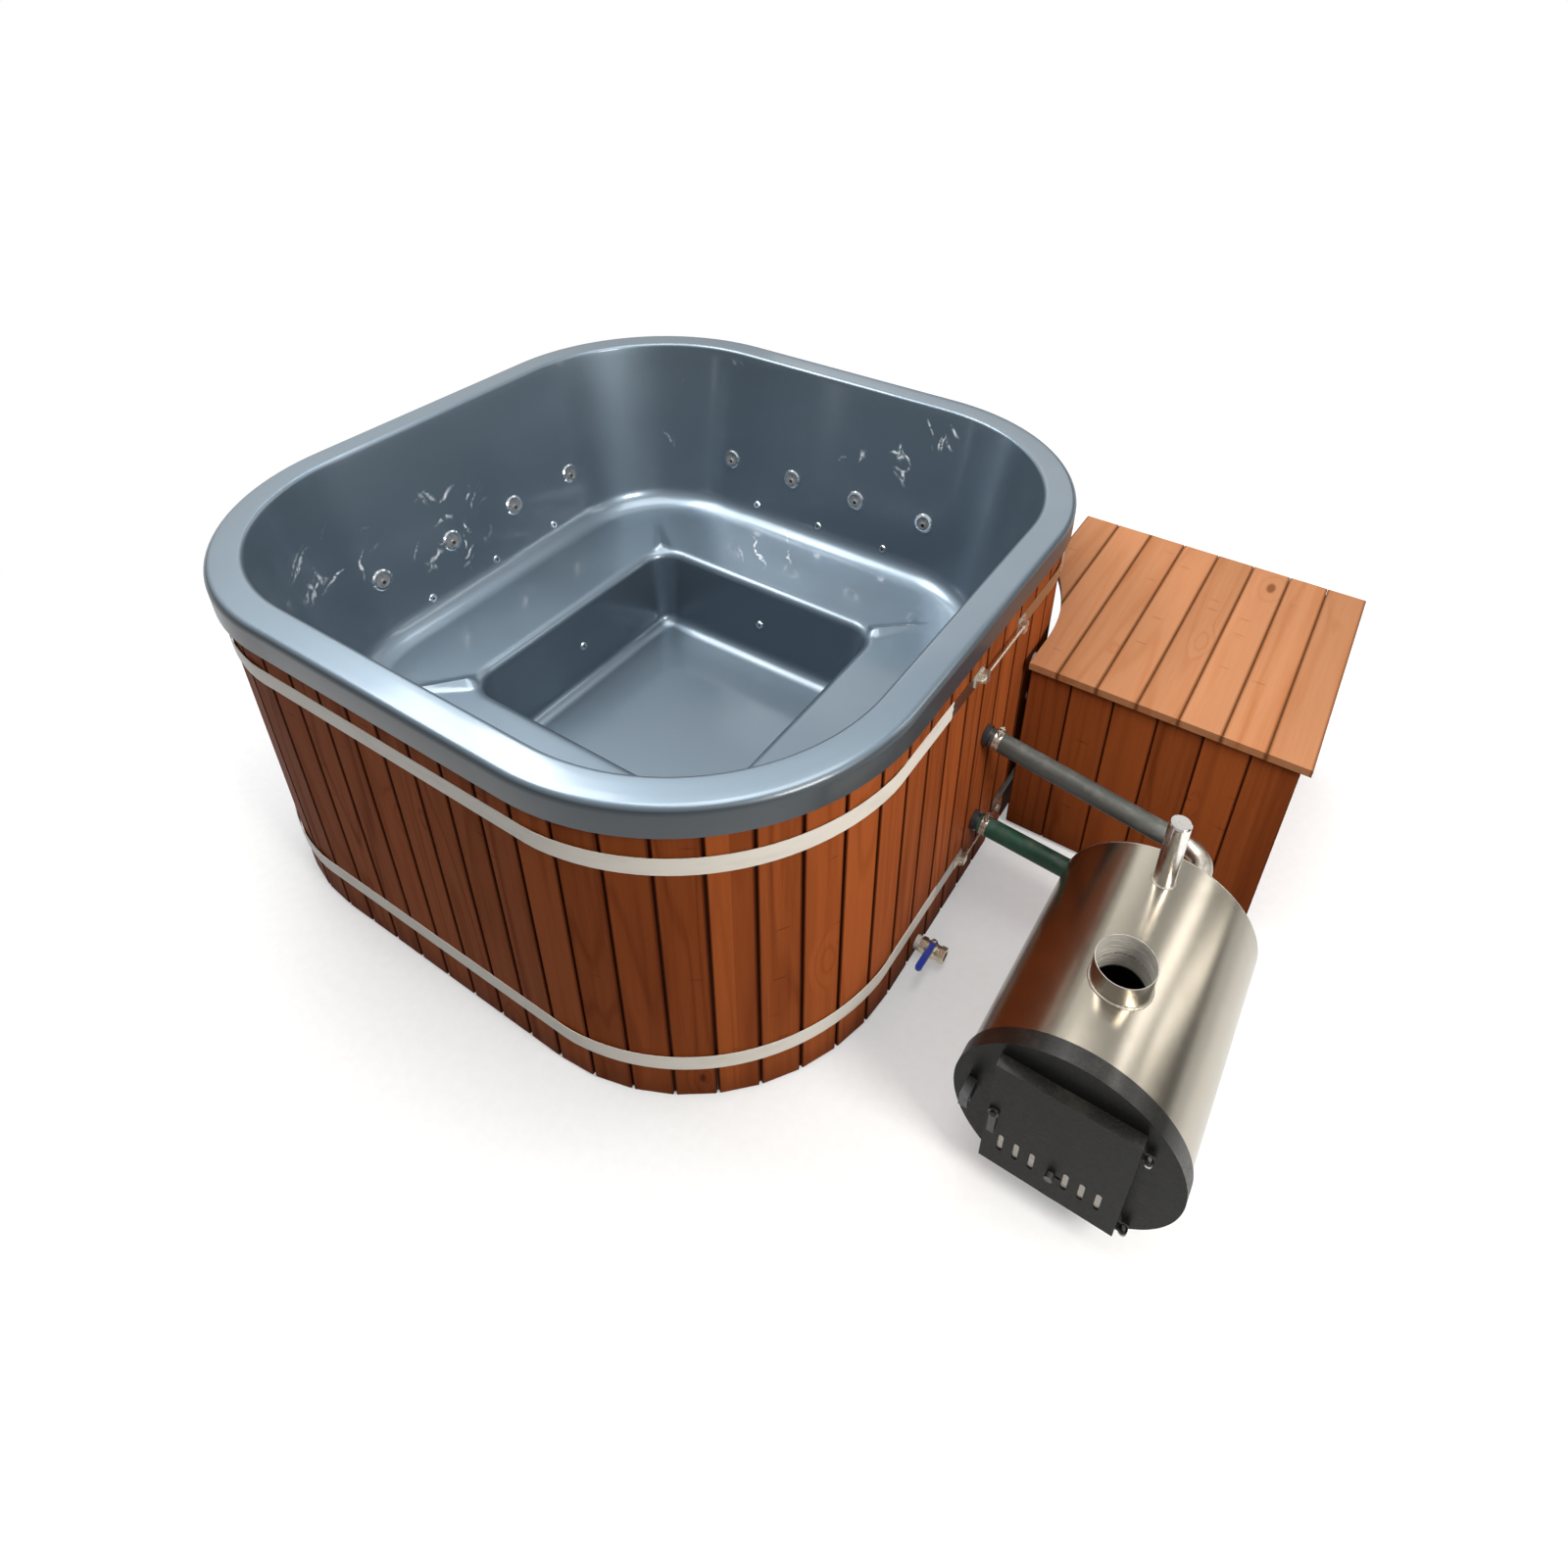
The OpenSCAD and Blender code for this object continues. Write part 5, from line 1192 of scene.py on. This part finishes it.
class TUB_OT_stage(bpy.types.Operator):
    """Pale floor, soft lights and the camera of the product picture"""
    bl_idname = "tub.stage"
    bl_label = "Stage"

    def execute(self, context):
        scene = context.scene
        scene.view_settings.view_transform = "Standard"
        corners = [(-sx * FLOOR_HALF, -sy * FLOOR_HALF, -FLOOR_DROP) for sx, sy in QUARTERS]
        floor = bpy.data.objects.new("pale_floor", mesh_of("pale_floor", corners, [(0, 1, 2, 3)]))
        scene.collection.objects.link(floor)
        dress(floor, self.floor_finish())
        self.world(scene)
        for lamp in LAMPS:
            self.panel(scene, *lamp)
        self.camera(scene)
        return {"FINISHED"}

    @staticmethod
    def floor_finish():
        """Pale ground that the camera sees as near white, with the shadow kept."""
        material, g, shader = new_material("Pale floor", roughness=0.8, specular=0.2)
        point = g.object_point()
        speck = g.noise(point, 40.0, 4.0, 0.6)
        pale = g.mix(g.ramp(speck, 0.3, 0.7), (0.81, 0.825, 0.845), (0.84, 0.855, 0.875))
        x, y, _z = g.split(point)
        away = g.radius(x, y, (0.4, 0.0))
        camera, mirrored = g.rays()
        shown = g.math("MAXIMUM", camera, mirrored)
        g.put(shader, "Base Color", g.mix(shown, (0.14, 0.135, 0.13), pale))
        seen = g.math("MULTIPLY", shown, g.math("MAXIMUM", g.ramp(away, 1.5, 3.4), 0.30))
        white = g.add("ShaderNodeEmission", Color=(1.0, 1.0, 1.0), Strength=1.0)
        both = g.add("ShaderNodeMixShader")
        g.put(both, "0", seen)
        g.put(both, "1", shader.outputs[0])
        g.put(both, "2", white.outputs[0])
        g.put(material.node_tree.nodes["Material Output"], "Surface", both.outputs[0])
        return material

    @staticmethod
    def world(scene):
        """A dim room with one bright corner; the camera sees white."""
        world = bpy.data.worlds.new("Soft room")
        scene.world = world
        world.use_nodes = True
        g = Graph(world.node_tree)
        back = world.node_tree.nodes["Background"]
        way = g.add("ShaderNodeTexCoord").outputs["Generated"]
        height = g.split(way)[2]
        # metal sees the white ground run on to the horizon, past the end of the floor
        camera, mirrored = g.rays()
        low = g.inverse(g.ramp(height, 0.0, 0.05))
        seen = g.math("MAXIMUM", camera, g.math("MULTIPLY", mirrored, low))
        toward = g.add("ShaderNodeVectorMath", {"operation": "DOT_PRODUCT"})
        g.put(toward, "0", way)
        g.put(toward, "1", BRIGHT_CORNER)
        room = g.mix(g.ramp(height, 0.16, 0.62), (0.060, 0.058, 0.055), (0.62, 0.62, 0.61))
        room = g.mix(g.ramp(toward.outputs["Value"], 0.74, 1.0), room, (1.0, 1.0, 0.97))
        g.put(back, "Color", g.mix(seen, room, (1.0, 1.0, 1.0)))

    @staticmethod
    def panel(scene, name, place, aim, size, power, tone):
        """A soft rectangular lamp that faces its aim."""
        lamp = bpy.data.lights.new(name, "AREA")
        lamp.shape = "RECTANGLE"
        lamp.size, lamp.size_y = size
        lamp.energy, lamp.color = power, tone
        holder = bpy.data.objects.new(name, lamp)
        scene.collection.objects.link(holder)
        holder.location = place
        way = Vector(aim) - Vector(place)
        holder.rotation_mode = "QUATERNION"
        holder.rotation_quaternion = way.to_track_quat("-Z", "Y")

    @staticmethod
    def camera(scene):
        """The camera of the photograph."""
        az, el, roll = map(math.radians, (CAMERA_AZIMUTH, CAMERA_ELEVATION, CAMERA_ROLL))
        back = Vector((math.sin(az) * math.cos(el), -math.cos(az) * math.cos(el), math.sin(el)))
        right = Vector((math.cos(az), math.sin(az), 0.0))
        up = back.cross(right)
        turned = right * math.cos(roll) + up * math.sin(roll)
        upright = up * math.cos(roll) - right * math.sin(roll)
        data = bpy.data.cameras.new("product_camera")
        data.sensor_width, data.sensor_fit = SENSOR, "AUTO"
        data.lens = SENSOR * PHOTO_FOCUS / PHOTO_SIZE
        data.shift_x = 0.5 - PHOTO_CENTRE[0] / PHOTO_SIZE
        data.shift_y = PHOTO_CENTRE[1] / PHOTO_SIZE - 0.5
        data.clip_start, data.clip_end = 0.05, 60.0
        view = bpy.data.objects.new("product_camera", data)
        scene.collection.objects.link(view)
        basis = Matrix((turned, upright, back)).transposed().to_4x4()
        view.matrix_world = Matrix.Translation(CAMERA_AT) @ basis
        scene.camera = view


# Panel and registration

PIECE_OPERATORS = (TUB_OT_stage, TUB_OT_liner, TUB_OT_timber, TUB_OT_bands, TUB_OT_jets,
                   TUB_OT_hoses, TUB_OT_drain, TUB_OT_stove, TUB_OT_box)


class TUB_PT_panel(bpy.types.Panel):
    """Lists the hot tub's pieces and their settings"""
    bl_idname = "TUB_PT_panel"
    bl_label = "Hot Tub"
    bl_space_type = "VIEW_3D"
    bl_region_type = "UI"
    bl_category = "Hot Tub"

    def draw(self, context):
        layout = self.layout
        for holder in HOLDERS:
            settings = getattr(context.scene, holder)
            box = layout.box()
            for key in settings.__annotations__:
                box.prop(settings, key)
        for operator in PIECE_OPERATORS:
            layout.operator(operator.bl_idname)


CLASSES = (TUB_PG_liner, TUB_PG_timber, TUB_PG_metal, *PIECE_OPERATORS, TUB_PT_panel)
HOLDERS = {"tub_liner": TUB_PG_liner, "tub_timber": TUB_PG_timber, "tub_metal": TUB_PG_metal}


def register():
    """Make the classes known, and give the scene their settings."""
    for cls in CLASSES:
        bpy.utils.register_class(cls)
    for name, cls in HOLDERS.items():
        setattr(bpy.types.Scene, name, PointerProperty(type=cls))


def unregister():
    """Take the settings and the classes away again."""
    for name in HOLDERS:
        delattr(bpy.types.Scene, name)
    for cls in reversed(CLASSES):
        bpy.utils.unregister_class(cls)


def main():
    """Dress the frame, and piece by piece."""
    register()
    build_groups()
    for operator in PIECE_OPERATORS:
        getattr(bpy.ops.tub, operator.bl_idname.removeprefix("tub."))()


if __name__ == "__main__":
    main()
